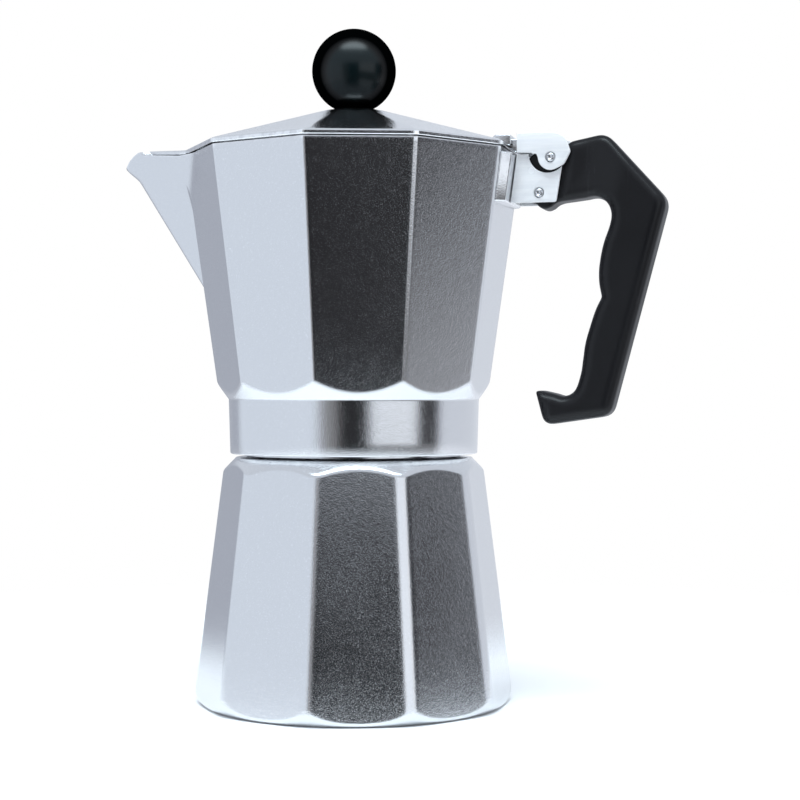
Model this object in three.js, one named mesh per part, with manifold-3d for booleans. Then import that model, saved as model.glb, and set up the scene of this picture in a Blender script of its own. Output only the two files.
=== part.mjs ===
// A six-cup stovetop moka pot: ten-sided cast aluminium boiler and collector, hinged lid,
// funnel basket, gasket, filter plate, coffee column, safety valve and a hooked plastic handle.
// Millimetres, +Z up. The origin is the centre of the boiler's flat bottom.
// +X points to the handle and -X to the spout, so the lid's hinge pin lies along Y.
import * as THREE from "three";
import { mergeVertices } from "three/addons/utils/BufferGeometryUtils.js";
import Module from "manifold-3d";

const wasm = await Module();
wasm.setup();

// ---- Driving dimensions, in millimetres and degrees ----

const facetCount = 10; // flat sides of the boiler, the collector and the lid
const roundSteps = 40; // segments of a large turned surface
const smallSteps = 16; // segments of a pin, rivet or bore
const gap = 0.3; // between pieces that touch on the real pot

// Boiler. A faceted piece's radius is measured to its corners.
const boilerFootRadius = 46.4;
const boilerFootRise = 5;
const boilerWideRadius = 50.8;
const boilerBodyHeight = 68.5; // from the foot's rise to the shoulder
const boilerShoulderRise = 4.6;
const boilerShoulderRun = 4.5; // from the shoulder's top edge out to the flat sides' top corners
const boilerLedge = 3.3; // from the neck out to the shoulder
const boilerWall = 2.7;
const boilerFloor = 3;

// Neck and its thread
const neckBoreRadius = 30.6;
const neckWall = 3.7;
const neckHeight = 10.2;
const threadPitch = 3.2;
const threadHeight = 0.9;
const threadRootWidth = 1.6;
const threadCrestWidth = 0.7;
const threadTurns = 2;
const threadSteps = 36; // segments in one turn
const threadStart = 2; // above the shoulder
const threadRadialGap = 0.4; // crest to crest, so that the top can also be lifted straight off

// Funnel, gasket and filter plate
const basketWall = 0.9;
const basketRunningGap = 0.8;
const basketDepth = 27;
const basketConeDrop = 4.5;
const funnelFlangeReach = 2.6;
const funnelFlangeThickness = 1;
const stemRadius = 4.9;
const stemFloorGap = 4.5;
const strainerThickness = 0.8;
const strainerHoleRadius = 1.1;
const strainerHolePitch = 8.2;
const gasketOverlap = 3.8; // inside the neck's bore
const gasketThickness = 3.2;
const filterThickness = 0.8;
const filterInset = 1; // inside the neck's bore
const filterHoleRadius = 0.9;
const filterHolePitch = 8.2;

// Collector
const bandGap = 1.2; // between the boiler's shoulder and the collector's band
const bandWall = 2.9; // round the thread's root
const bandFlare = 0.5;
const bandHeight = 17.2;
const collectorFootReach = 3.7; // beyond the band
const collectorFootRise = 5.1;
const collectorRimRadius = 53.8;
const collectorBodyHeight = 72.1;
const collectorWall = 2.6;
const collectorFloor = 2.8;
const gasketSeatHeight = 5.2;
const underConeInset = 3.6; // inside the neck's bore
const underConeRise = 4.8;

// Coffee column
const columnBore = 3.8;
const columnTopWall = 2.4;
const columnBaseReach = 2; // beyond the spigot
const columnHeight = 48;
const columnSlotWidth = 4;
const columnSlotDepth = 8;
const columnSpigotWall = 2.8;

// Spout
const spoutWall = 2.2;
const spoutKeelProud = 0.049; // keel's lower end beyond the flat side there
const spoutKeelDrop = 51.4; // keel's lower end below the rim
const spoutKeelSlope = 1.566;
const spoutSideSlope = 0.48; // half width gained for each millimetre above the keel
const spoutFlatReach = 1.133; // beyond the flat side at the rim, where the top edge starts to rise
const spoutTopSlope = 0.124;
const spoutLipReach = 25.4; // beyond the keel's lower end
const spoutTipReach = 8.7; // beyond the lip
const spoutTipDrop = 1.7; // tip below the rim
const spoutLipRise = 3.4; // lip above the rim

// Lid
const lidSkirtReach = 0.6; // beyond the collector's rim
const lidSkirtHeight = 1.4;
const lidRise = 12.8;
const lidPlateauRadius = 10;
const lidThickness = 1.8;
const lidLipGap = 0.7;
const lidLipDepth = 2.3;
const lidLipWall = 1.6;
const lidScrewHoleGap = 0.4;
const beakThickness = 1.3;
const beakRootHalfWidth = 20;
const beakTipHalfWidth = 6.2;
const beakRidge = 2.5; // of the beak's middle over its sides, at the spout's root
const beakOverlap = 6.3; // from the spout's flat edge back onto the lid

// Knob, its screw and washer
const knobRadius = 13.4;
const knobCentreHeight = 13.4; // above the lid's plateau
const knobNeckRadius = 5.7;
const knobFootRadius = 7.2;
const knobFootHeight = 1.8;
const knobBoreDepth = 11;
const screwRadius = 2;
const screwHeadReach = 2; // beyond the shank
const screwHeadHeight = 2.2;
const washerReach = 1.2; // beyond the screw's head
const washerThickness = 0.8;

// Lid hinge
const hingeReach = 13.633; // beyond the rim's flat side
const hingeAboveRim = -2.8;
const hingePinRadius = 1.4;
const pinHoleGap = 0.2;
const pinProud = 0.5;
const plateThickness = 1.2;
const plateTopAboveRim = 4.9;
const plateStartReach = 3.133; // beyond the rim's flat side
const plateWebLength = 4;
const plateEyeWall = 2.5;
const lugHalfWidth = 6;
const lugEndReach = 4.2; // beyond the hinge plate's start
const lidBossHalfWidth = 8;
const lidBossSetback = 1.7; // from the hinge plate's start back to the boss
const hingeRivetRadius = 1;
const hingeRivetHeadReach = 0.9;
const hingeRivetSpacing = 6;

// Handle bracket
const padHalfWidth = 14;
const padFaceHalfWidth = 12;
const padHeight = 2.8;
const bracketThickness = 1.2;
const bracketDrop = 16.4; // lower edge below the rim
const bracketTopDrop = 1.4;
const bracketTopReach = 3.2; // beyond the hinge pin
const bracketBottomReach = 1.5;
const bracketNotchWall = 2.1; // round the hinge plate's eye
const bracketRivetRadius = 1.6;
const bracketRivetHeadReach = 1.4;
const bracketRivetHeadHeight = 1.2;
const bracketRivetSpacing = 6.4;
const handleRivetSetback = 3.8; // from the hinge pin back towards the collector
const handleRivetDrop = 13.5;

// Handle
const tongueHalfWidth = 4.5;
const handleNeckHalfWidth = 5.9;
const handleGripHalfWidth = 7.6;
const handleEdge = 1.2;
const handleKnuckleWall = 4; // round the hinge pin
const handleFlareStart = 10; // distances from the hinge pin between which the neck widens
const handleFlareEnd = 24;

// Safety valve, on the flat side facing 108 degrees round from the handle
const valveAngle = 108;
const valveDrop = 15.5; // below the shoulder
const valveBossReach = 0.8; // beyond the hexagon's corners
const valveBossProud = 1.488; // beyond the flat side
const valveBossInside = 2.012; // beyond the wall's inside
const valveShankRadius = 4.3;
const valveHexReach = 3.1; // beyond the shank
const valveHexLength = 4.8;
const valveNoseWall = 1.4;
const valveNoseLength = 3.4;
const valveChamberRadius = 3;
const valveBore = 1.5;
const valveWasherThickness = 0.8;
const valveNutReach = 2.7; // beyond the shank
const valveNutLength = 2.2;
const valvePinRadius = 0.9;
const valvePinProud = 1.9;
const valveDiscThickness = 1;
const valveCapThickness = 1;
const valveTravel = 1.2;
const valveSpringWire = 0.3;
const valveSpringTurns = 4;

// ---- Levels and radii worked out from the driving dimensions ----

const apothemShare = Math.cos(Math.PI / facetCount);
const neckRootRadius = neckBoreRadius + neckWall;
const boilerShoulderRadius = neckRootRadius + boilerLedge;
const boilerTopRadius = boilerShoulderRadius + boilerShoulderRun;
const boilerShoulderZ = boilerFootRise + boilerBodyHeight;
const boilerTaper = (boilerWideRadius - boilerTopRadius) / boilerBodyHeight;
const shoulderTopZ = boilerShoulderZ + boilerShoulderRise;
const neckTopZ = shoulderTopZ + neckHeight;
const bandBottomZ = shoulderTopZ + bandGap;
const bandTopZ = bandBottomZ + bandHeight;
const collectorFootZ = bandTopZ + collectorFootRise;
const rimZ = collectorFootZ + collectorBodyHeight;
const threadCrestRadius = neckRootRadius + threadHeight;
const skirtCrestRadius = threadCrestRadius + threadRadialGap;
const skirtRootRadius = skirtCrestRadius + threadHeight;
const bandRadius = skirtRootRadius + bandWall;
const collectorFootRadius = bandRadius + bandFlare + collectorFootReach;
const collectorTaper = (collectorRimRadius - collectorFootRadius) / collectorBodyHeight;

const flangeBottomZ = neckTopZ + gap;
const flangeTopZ = flangeBottomZ + funnelFlangeThickness;
const basketRadius = neckBoreRadius - basketRunningGap;
const funnelFlangeRadius = basketRadius + funnelFlangeReach;
const basketFloorZ = flangeTopZ - basketDepth;
const gasketInnerRadius = neckBoreRadius - gasketOverlap;
const gasketBottomZ = flangeTopZ + gap;
const gasketTopZ = gasketBottomZ + gasketThickness;
const filterRadius = neckBoreRadius - filterInset;
const filterBottomZ = gasketTopZ + gap;
const filterTopZ = filterBottomZ + filterThickness;
const gasketSeatRadius = funnelFlangeRadius + gap;
const gasketSeatTopZ = filterTopZ + gap;
const gasketSeatBottomZ = gasketSeatTopZ - gasketSeatHeight;
const underConeRadius = neckBoreRadius - underConeInset;
const underConeTopZ = gasketSeatTopZ + underConeRise;
const jugFloorZ = underConeTopZ + collectorFloor;

const columnSpigotRadius = columnBore + columnSpigotWall;
const columnBaseRadius = columnSpigotRadius + columnBaseReach;
const columnTopRadius = columnBore + columnTopWall;

const keelFlatRadius = (collectorRimRadius - collectorTaper * spoutKeelDrop) * apothemShare;
const spoutKeelOut = keelFlatRadius + spoutKeelProud;
const spoutFlatOut = collectorRimRadius * apothemShare + spoutFlatReach;
const spoutLipOut = spoutKeelOut + spoutLipReach;
const spoutTipOut = spoutLipOut + spoutTipReach;

const lidBottomZ = rimZ + gap;
const lidSkirtTopZ = lidBottomZ + lidSkirtHeight;
const lidTopZ = lidSkirtTopZ + lidRise;
const lidRadius = collectorRimRadius + lidSkirtReach;
const lidSlope = lidRise / (lidRadius - lidPlateauRadius);

const lidScrewHoleRadius = screwRadius + lidScrewHoleGap;
const screwHeadRadius = screwRadius + screwHeadReach;
const washerRadius = screwHeadRadius + washerReach;

const rimFlatRadius = collectorRimRadius * apothemShare;
const hingeOut = rimFlatRadius + hingeReach;
const hingeZ = rimZ + hingeAboveRim;
const plateStartOut = rimFlatRadius + plateStartReach;
const plateEyeRadius = hingePinRadius + plateEyeWall;
const lugEndOut = plateStartOut + lugEndReach;
const lidBossEndOut = plateStartOut - lidBossSetback;
const hingeRivetOut = plateStartOut + plateWebLength / 2;
const hingeRivetHeadRadius = hingeRivetRadius + hingeRivetHeadReach;
const plateTopZ = rimZ + plateTopAboveRim;
const bracketInnerHalf = tongueHalfWidth + gap;
const bracketOuterHalf = bracketInnerHalf + bracketThickness;
const plateInnerHalf = bracketOuterHalf + gap;
const plateOuterHalf = plateInnerHalf + plateThickness;
const bracketTopZ = rimZ - bracketTopDrop;
const bracketBottomZ = rimZ - bracketDrop;
const bracketTopOut = hingeOut + bracketTopReach;
const bracketBottomOut = hingeOut + bracketBottomReach;
const bracketNotchRadius = plateEyeRadius + bracketNotchWall;
const handleRivetOut = hingeOut - handleRivetSetback;
const handleRivetZ = rimZ - handleRivetDrop;
const facetLean = Math.atan(collectorTaper * apothemShare);
const bracketRivetHeadRadius = bracketRivetRadius + bracketRivetHeadReach;
const rivetInnerEnd = collectorWall + gap + bracketRivetHeadHeight;
const upperRivetDrop = lidLipDepth + gap + bracketRivetHeadRadius + rivetInnerEnd * Math.sin(facetLean);
const bracketRivetDrops = [upperRivetDrop, upperRivetDrop + bracketRivetSpacing];

const valveHeight = boilerShoulderZ - valveDrop;
const valveFace = (boilerWideRadius - boilerTaper * (valveHeight - boilerFootRise)) * apothemShare;
const valveBossOut = valveFace + valveBossProud;
const valveBossIn = valveFace - boilerWall - valveBossInside;
const valveHexRadius = valveShankRadius + valveHexReach;
const valveNutRadius = valveShankRadius + valveNutReach;
const valveBossRadius = valveHexRadius + valveBossReach;
const valveNoseRadius = valveChamberRadius + valveNoseWall;

// ---- Shape helpers ----

function solidFrom(positions, triangles) {
  const triVerts = new Uint32Array(triangles);
  const vertProperties = new Float32Array(positions);
  let volume = 0;
  const corner = (i) => new THREE.Vector3().fromArray(vertProperties, 3 * triVerts[i]);
  for (let i = 0; i < triVerts.length; i += 3)
    volume += corner(i).dot(corner(i + 1).cross(corner(i + 2)));
  if (volume < 0) triVerts.reverse();
  return new wasm.Manifold(new wasm.Mesh({ numProp: 3, vertProperties, triVerts }));
}

function solid(geometry) {
  geometry.deleteAttribute("normal");
  geometry.deleteAttribute("uv");
  const merged = mergeVertices(geometry, 1e-4);
  const index = [];
  for (let i = 0; i < merged.index.count; i += 3) {
    const [a, b, c] = [0, 1, 2].map((k) => merged.index.getX(i + k));
    if (a !== b && b !== c && a !== c) index.push(a, b, c);
  }
  return solidFrom(merged.attributes.position.array, index);
}

// A profile of [radius, height] pairs turned about Z. Ten steps give the faceted body.
function turned(profile, steps = roundSteps) {
  const points = profile.map(([r, z]) => new THREE.Vector2(r, z));
  return solid(new THREE.LatheGeometry(points, steps).rotateX(Math.PI / 2));
}

// A ring profile, closed on itself.
function ring(profile, steps = roundSteps) {
  return turned([...profile, profile[0]], steps);
}

// A pin, disc or bore from z0 to z1 on the Z axis.
function rod(radius, z0, z1, steps = smallSteps) {
  return turned([[0, z0], [radius, z0], [radius, z1], [0, z1]], steps);
}

// A side view in X and Z, extruded to y = -halfWidth ... +halfWidth, its edges bevelled.
function sideways(shape, halfWidth, edge = 0, curveSegments = 5) {
  const geometry = new THREE.ExtrudeGeometry(shape, {
    depth: 2 * (halfWidth - edge),
    bevelEnabled: edge > 0,
    bevelSize: edge,
    bevelThickness: edge,
    bevelOffset: -edge,
    bevelSegments: 2,
    curveSegments,
  });
  return geometry.rotateX(Math.PI / 2).translate(0, halfWidth - edge, 0);
}

function outline(points) {
  return new THREE.Shape(points.map(([x, y]) => new THREE.Vector2(x, y)));
}

// Sections of equal point count, joined in order, with flat ends.
function loft(sections) {
  const count = sections[0].length;
  const triangles = [];
  for (let s = 0; s + 1 < sections.length; s++)
    for (let i = 0; i < count; i++) {
      const [a, b] = [s * count + i, s * count + ((i + 1) % count)];
      triangles.push(a, b, b + count, a, b + count, a + count);
    }
  const last = (sections.length - 1) * count;
  for (let i = 1; i + 1 < count; i++)
    triangles.push(0, i + 1, i, last, last + i, last + i + 1);
  return solidFrom(sections.flat(2), triangles);
}

// One thread ridge round Z, from a root inside the wall to a crest, faded out at both ends.
function threadRidge(rootRadius, crestRadius, startZ) {
  const sections = [];
  const sink = 0.4 * Math.sign(rootRadius - crestRadius);
  const steps = threadTurns * threadSteps;
  for (let i = 0; i <= steps; i++) {
    const angle = (2 * Math.PI * i) / threadSteps;
    const z = startZ + (threadPitch * i) / threadSteps;
    const fade = Math.min(1, (Math.min(i, steps - i) + 0.6) / 4);
    const crest = rootRadius + (crestRadius - rootRadius) * fade;
    const half = (threadRootWidth - (threadRootWidth - threadCrestWidth) * fade) / 2;
    const at = (r, h) => [r * Math.cos(angle), r * Math.sin(angle), z + h];
    sections.push([
      at(rootRadius + sink, -threadRootWidth / 2),
      at(crest, -half),
      at(crest, half),
      at(rootRadius + sink, threadRootWidth / 2),
    ]);
  }
  return loft(sections);
}

// Turns a solid made along Z so that it lies along Y.
function alongY(made) {
  return made.rotate([90, 0, 0]);
}

// Puts a solid made along Z on the valve's axis, so that z becomes the distance from the pot's axis.
function atValve(made) {
  return made.rotate([0, 90, 0]).rotate([0, 0, valveAngle]).translate([0, 0, valveHeight]);
}

const pot = new THREE.Group();

function add(name, made, color, roughness, metalness) {
  const mesh = made.getMesh();
  const geometry = new THREE.BufferGeometry();
  geometry.setAttribute("position", new THREE.BufferAttribute(mesh.vertProperties, 3));
  geometry.setIndex(new THREE.BufferAttribute(mesh.triVerts, 1));
  geometry.computeVertexNormals();
  const material = new THREE.MeshStandardMaterial({ color, roughness, metalness });
  const part = new THREE.Mesh(geometry, material);
  part.name = name;
  pot.add(part);
}

const addCast = (name, made) => add(name, made, 0xc9ccd2, 0.28, 1);
const addSheet = (name, made) => add(name, made, 0xe4e6ea, 0.22, 1);
const addSteel = (name, made) => add(name, made, 0xb4b7bb, 0.3, 1);
const addBrass = (name, made) => add(name, made, 0xc49a4a, 0.32, 1);
const addPlastic = (name, made) => add(name, made, 0x141416, 0.35, 0);

// ---- Boiler ----

function boilerRadiusAt(z) {
  return boilerWideRadius - boilerTaper * (z - boilerFootRise);
}

function makeBoiler() {
  const faceted = turned(
    [
      [0, 0],
      [boilerRadiusAt(0), 0],
      [boilerRadiusAt(shoulderTopZ), shoulderTopZ],
      [0, shoulderTopZ],
    ],
    facetCount,
  );
  const footSpan = boilerWideRadius - boilerFootRadius;
  const foot = [0, 30, 60, 90].map((degrees) => {
    const a = (degrees * Math.PI) / 180;
    return [
      boilerFootRadius + footSpan * Math.sin(a),
      boilerFootRise * (1 - Math.cos(a)),
    ];
  });
  const shoulderSlope = (boilerTopRadius - boilerShoulderRadius) / boilerShoulderRise;
  const clearOfFacets = 3;
  const roundEnds = turned([
    [0, 0],
    ...foot,
    [boilerWideRadius + clearOfFacets, boilerFootRise + clearOfFacets],
    [boilerTopRadius + clearOfFacets, boilerShoulderZ - clearOfFacets / shoulderSlope],
    [boilerShoulderRadius, shoulderTopZ],
    [0, shoulderTopZ],
  ]);
  const neckChamfer = 0.6;
  const neck = turned([
    [0, boilerShoulderZ],
    [neckRootRadius, boilerShoulderZ],
    [neckRootRadius, neckTopZ - neckChamfer],
    [neckRootRadius - neckChamfer, neckTopZ],
    [0, neckTopZ],
  ]);
  const insideRadiusAt = (z) => boilerRadiusAt(z) * apothemShare - boilerWall;
  const insideTopZ = boilerShoulderZ - boilerWall;
  const insideFillet = 3;
  const inside = turned([
    [0, boilerFloor],
    [insideRadiusAt(boilerFloor) - insideFillet, boilerFloor],
    [insideRadiusAt(boilerFloor + insideFillet), boilerFloor + insideFillet],
    [insideRadiusAt(insideTopZ), insideTopZ],
    [neckBoreRadius, shoulderTopZ - boilerWall / 2],
    [neckBoreRadius, neckTopZ + 1],
    [0, neckTopZ + 1],
  ]);
  const boss = atValve(rod(valveBossRadius, valveBossIn, valveBossOut, 24));
  const hole = atValve(rod(valveShankRadius + gap, valveBossIn - 5, valveBossOut + 5, 24));
  const ridge = threadRidge(neckRootRadius, threadCrestRadius, shoulderTopZ + threadStart);
  return faceted.intersect(roundEnds).add(neck).subtract(inside).add(ridge).add(boss).subtract(hole);
}

addCast("boiler_body", makeBoiler());

// ---- Safety valve ----

function makeValve() {
  const washerIn = valveBossOut + gap;
  const hexIn = washerIn + valveWasherThickness + gap;
  const hexOut = hexIn + valveHexLength;
  const noseOut = hexOut + valveNoseLength;
  const nutOut = valveBossIn - gap;
  const nutIn = nutOut - valveNutLength;
  const shankIn = nutIn - 1;
  const seatOut = hexIn + 0.6;
  const hex = rod(valveHexRadius, hexIn, hexOut, 6);
  const shank = rod(valveShankRadius, shankIn, hexIn + 1, 24);
  const nose = rod(valveNoseRadius, hexOut - 1, noseOut, 24);
  const chamber = rod(valveChamberRadius, seatOut, noseOut + 1, 24);
  const bore = rod(valveBore, shankIn - 1, seatOut + 1, 12);
  const body = hex.add(shank).add(nose).subtract(chamber).subtract(bore);
  const washer = ring([
    [valveShankRadius + gap, washerIn],
    [valveHexRadius - gap, washerIn],
    [valveHexRadius - gap, washerIn + valveWasherThickness],
    [valveShankRadius + gap, washerIn + valveWasherThickness],
  ], 24);
  const nut = rod(valveNutRadius, nutIn, nutOut, 6).subtract(
    rod(valveShankRadius + gap, nutIn - 1, nutOut + 1, 24),
  );
  const capOut = noseOut - gap;
  const capIn = capOut - valveCapThickness;
  const cap = ring([
    [valvePinRadius + gap, capIn],
    [valveChamberRadius - gap, capIn],
    [valveChamberRadius - gap, capOut],
    [valvePinRadius + gap, capOut],
  ], 24);
  const discIn = seatOut + gap;
  const discOut = discIn + valveDiscThickness;
  const pin = turned([
    [0, discIn],
    [valveChamberRadius - gap, discIn],
    [valveChamberRadius - gap, discOut],
    [valvePinRadius, discOut],
    [valvePinRadius, noseOut + valvePinProud],
    [0, noseOut + valvePinProud],
  ], 12);
  const springIn = discOut + gap / 2 + valveSpringWire;
  const springOut = capIn - valveTravel - gap - valveSpringWire;
  const springRadius = (valvePinRadius + valveChamberRadius) / 2;
  const stepsPerTurn = 12;
  const coil = [];
  for (let i = 0; i <= valveSpringTurns * stepsPerTurn; i++) {
    const angle = (2 * Math.PI * i) / stepsPerTurn;
    const share = i / (valveSpringTurns * stepsPerTurn);
    const z = springIn + (springOut - springIn) * share;
    coil.push([0, 1, 2, 3, 4].map((k) => {
      const turn = (2 * Math.PI * k) / 5;
      const r = springRadius + valveSpringWire * Math.cos(turn);
      return [r * Math.cos(angle), r * Math.sin(angle), z + valveSpringWire * Math.sin(turn)];
    }));
  }
  addBrass("valve_body", atValve(body));
  addSheet("valve_washer", atValve(washer));
  addBrass("valve_nut", atValve(nut));
  addBrass("valve_cap", atValve(cap));
  addSteel("valve_pin", atValve(pin));
  addSteel("valve_spring", atValve(loft(coil)));
}

makeValve();

// ---- Funnel basket, gasket and filter plate ----

function circlePoints(x, y, radius, steps) {
  return Array.from({ length: steps }, (_, i) => {
    const angle = (2 * Math.PI * i) / steps;
    return new THREE.Vector2(x + radius * Math.cos(angle), y + radius * Math.sin(angle));
  });
}

// A round plate with holes on a triangular grid.
function perforated(radius, bottomZ, thickness, holeRadius, holePitch) {
  const disc = new THREE.Shape(circlePoints(0, 0, radius, roundSteps));
  const holeRim = 3 * holeRadius;
  const rows = Math.floor(radius / holePitch) + 1;
  for (let row = -rows; row <= rows; row++)
    for (let column = -rows; column <= rows; column++) {
      const x = holePitch * (column + (row % 2) / 2);
      const y = (holePitch * row * Math.sqrt(3)) / 2;
      if (Math.hypot(x, y) > radius - holeRim) continue;
      disc.holes.push(new THREE.Path(circlePoints(x, y, holeRadius, 6)));
    }
  const geometry = new THREE.ExtrudeGeometry(disc, { depth: thickness, bevelEnabled: false });
  return solid(geometry.translate(0, 0, bottomZ));
}

function makeFunnel() {
  const stemTopZ = basketFloorZ - basketConeDrop;
  const stemEndZ = boilerFloor + stemFloorGap;
  const insideRadius = basketRadius - basketWall;
  return ring([
    [funnelFlangeRadius, flangeBottomZ],
    [funnelFlangeRadius, flangeTopZ],
    [insideRadius, flangeTopZ],
    [insideRadius, basketFloorZ + basketWall],
    [stemRadius - basketWall, stemTopZ + basketWall],
    [stemRadius - basketWall, stemEndZ],
    [stemRadius, stemEndZ],
    [stemRadius, stemTopZ],
    [basketRadius, basketFloorZ],
    [basketRadius, flangeBottomZ],
  ]);
}

const strainerRadius = basketRadius - basketWall - gap;
const strainerZ = basketFloorZ + basketWall + gap;
addSteel("funnel_basket", makeFunnel());
addSheet(
  "funnel_strainer",
  perforated(strainerRadius, strainerZ, strainerThickness, strainerHoleRadius, strainerHolePitch),
);

addPlastic("gasket", ring([
  [gasketInnerRadius, gasketBottomZ],
  [funnelFlangeRadius, gasketBottomZ],
  [funnelFlangeRadius, gasketTopZ],
  [gasketInnerRadius, gasketTopZ],
]));

addSheet(
  "filter_plate",
  perforated(filterRadius, filterBottomZ, filterThickness, filterHoleRadius, filterHolePitch),
);

// ---- Collector ----

function collectorRadiusAt(z) {
  return collectorFootRadius + collectorTaper * (z - collectorFootZ);
}

// The spout's half width is spoutSideSlope times the height above its sharp keel.
function spoutKeelAt(out) {
  return rimZ - spoutKeelDrop + spoutKeelSlope * (out - spoutKeelOut);
}

// One cross section of the spout, from its left top corner round the keel to the right one.
function spoutSection(out, keelZ, topZ, halfWidth) {
  const rounding = Math.min(1, halfWidth / 3);
  const point = (v, z) => [-out, v, z];
  const slope = (topZ - keelZ) / halfWidth;
  return [
    point(-halfWidth, topZ),
    point(-rounding, keelZ + slope * rounding),
    point(-rounding / 3, keelZ + (slope * rounding) / 2),
    point(rounding / 3, keelZ + (slope * rounding) / 2),
    point(rounding, keelZ + slope * rounding),
    point(halfWidth, topZ),
  ];
}

function spoutTopAt(out) {
  return rimZ + spoutTopSlope * Math.max(0, out - spoutFlatOut);
}

// The spout as a solid beak, or with an inset the channel inside it.
function makeSpout(inset, lift, startOut) {
  const wallSpread = Math.hypot(1, spoutSideSlope, spoutSideSlope * spoutKeelSlope);
  const insetWidth = inset * wallSpread;
  const keelRaise = insetWidth / spoutSideSlope;
  const sections = [startOut, spoutFlatOut, spoutLipOut - 0.1].map((out) => {
    const topZ = spoutTopAt(out) + lift;
    const keelZ = spoutKeelAt(out) + keelRaise;
    return spoutSection(out, keelZ, topZ, spoutSideSlope * (topZ - keelZ));
  });
  // The lip: out from the axis, keel and top above the rim, half width.
  const curl = [
    [spoutLipOut + 0.6, -10.3, spoutLipRise, 7.3],
    [spoutLipOut + 2.2, -7.6, spoutLipRise - 0.2, 6.5],
    [spoutLipOut + 4.4, -4.7, spoutLipRise - 1, 5.2],
    [spoutLipOut + 6.6, -3, spoutLipRise - 2.4, 3.5],
    [spoutTipOut, -spoutTipDrop - 0.5, -spoutTipDrop + 0.6, 1.4],
  ];
  for (const [out, keel, top, halfWidth] of curl) {
    const narrowed = halfWidth - 0.75 * inset;
    if (narrowed < 0.5) continue;
    const keelZ = Math.min(rimZ + keel + inset * 1.1, rimZ + top - 0.5);
    sections.push(spoutSection(out, keelZ, rimZ + top + lift, narrowed));
  }
  if (inset > 0) {
    const [, lastKeel] = curl[curl.length - 1];
    sections.push(spoutSection(spoutTipOut + 3, rimZ + lastKeel, rimZ + lift, 1));
  }
  return loft(sections);
}

// The cast pad under the handle bracket, on the flat side facing +X.
function makePad() {
  const sectionAt = (z) => {
    const face = collectorRadiusAt(z) * apothemShare;
    return [
      [face - 1.5, -padHalfWidth, z],
      [face, -padHalfWidth, z],
      [face + padHeight, -padFaceHalfWidth, z],
      [face + padHeight, padFaceHalfWidth, z],
      [face, padHalfWidth, z],
      [face - 1.5, padHalfWidth, z],
    ];
  };
  return loft([sectionAt(bracketBottomZ), sectionAt(bracketTopZ)]);
}

// Puts a solid made along Z square to the +X flat side at a height, its z = 0 on the side's face.
function onHandleFacet(made, z) {
  const face = collectorRadiusAt(z) * apothemShare;
  const lean = (facetLean * 180) / Math.PI;
  return made.rotate([0, 90 + lean, 0]).translate([face, 0, z]);
}

function makeCollector() {
  const clear = 8;
  const coneSlope = collectorFootRise / (collectorFootRadius - bandRadius - bandFlare);
  const faceted = turned(
    [
      [0, bandTopZ - 1],
      [collectorRadiusAt(bandTopZ - 1), bandTopZ - 1],
      [collectorRimRadius, rimZ],
      [0, rimZ],
    ],
    facetCount,
  );
  const roundFoot = turned([
    [0, bandBottomZ],
    [bandRadius, bandBottomZ],
    [bandRadius + bandFlare, bandTopZ],
    [collectorFootRadius + clear, collectorFootZ + clear * coneSlope],
    [collectorRimRadius + clear, rimZ],
    [0, rimZ],
  ]);
  const band = turned([
    [0, bandBottomZ],
    [bandRadius, bandBottomZ],
    [bandRadius + bandFlare, bandTopZ],
    [0, bandTopZ],
  ]);
  const insideWall = collectorWall / apothemShare;
  const jug = turned(
    [
      [0, jugFloorZ],
      [collectorRadiusAt(jugFloorZ) - insideWall, jugFloorZ],
      [collectorRadiusAt(rimZ + 1) - insideWall, rimZ + 1],
      [0, rimZ + 1],
    ],
    facetCount,
  );
  const under = turned([
    [0, bandBottomZ - 1],
    [skirtRootRadius, bandBottomZ - 1],
    [skirtRootRadius, gasketSeatBottomZ],
    [gasketSeatRadius, gasketSeatBottomZ],
    [gasketSeatRadius, gasketSeatTopZ],
    [underConeRadius, gasketSeatTopZ],
    [columnSpigotRadius + gap, underConeTopZ],
    [columnSpigotRadius + gap, jugFloorZ + 1],
    [0, jugFloorZ + 1],
  ]);
  const ridge = threadRidge(
    skirtRootRadius,
    skirtCrestRadius,
    shoulderTopZ + threadStart + threadPitch / 2,
  );
  let body = faceted.intersect(roundFoot).add(band);
  body = body.add(makeSpout(0, 0, spoutKeelOut - 4.3)).add(makePad());
  body = body.subtract(jug).subtract(makeSpout(spoutWall, 6, spoutKeelOut + 0.7));
  body = body.subtract(under).add(ridge);
  for (const drop of bracketRivetDrops) {
    const hole = rod(bracketRivetRadius + gap, -collectorWall - 3, padHeight + 3);
    body = body.subtract(onHandleFacet(hole, rimZ - drop));
  }
  return body;
}

addCast("collector_body", makeCollector());

function makeColumn() {
  const topZ = jugFloorZ + columnHeight;
  const tube = ring([
    [columnBore, underConeTopZ + 0.5],
    [columnSpigotRadius, underConeTopZ + 0.5],
    [columnSpigotRadius, jugFloorZ + gap],
    [columnBaseRadius, jugFloorZ + gap],
    [columnBaseRadius - 1, jugFloorZ + 3],
    [columnTopRadius, topZ],
    [columnBore, topZ],
  ], 24);
  const slot = sideways(outline([
    [-columnTopRadius - 2, topZ - columnSlotDepth],
    [columnTopRadius + 2, topZ - columnSlotDepth],
    [columnTopRadius + 2, topZ + 1],
    [-columnTopRadius - 2, topZ + 1],
  ]), columnSlotWidth / 2);
  return tube.subtract(solid(slot));
}

addCast("coffee_column", makeColumn());

// ---- Lid, knob and hinge plate ----

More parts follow.
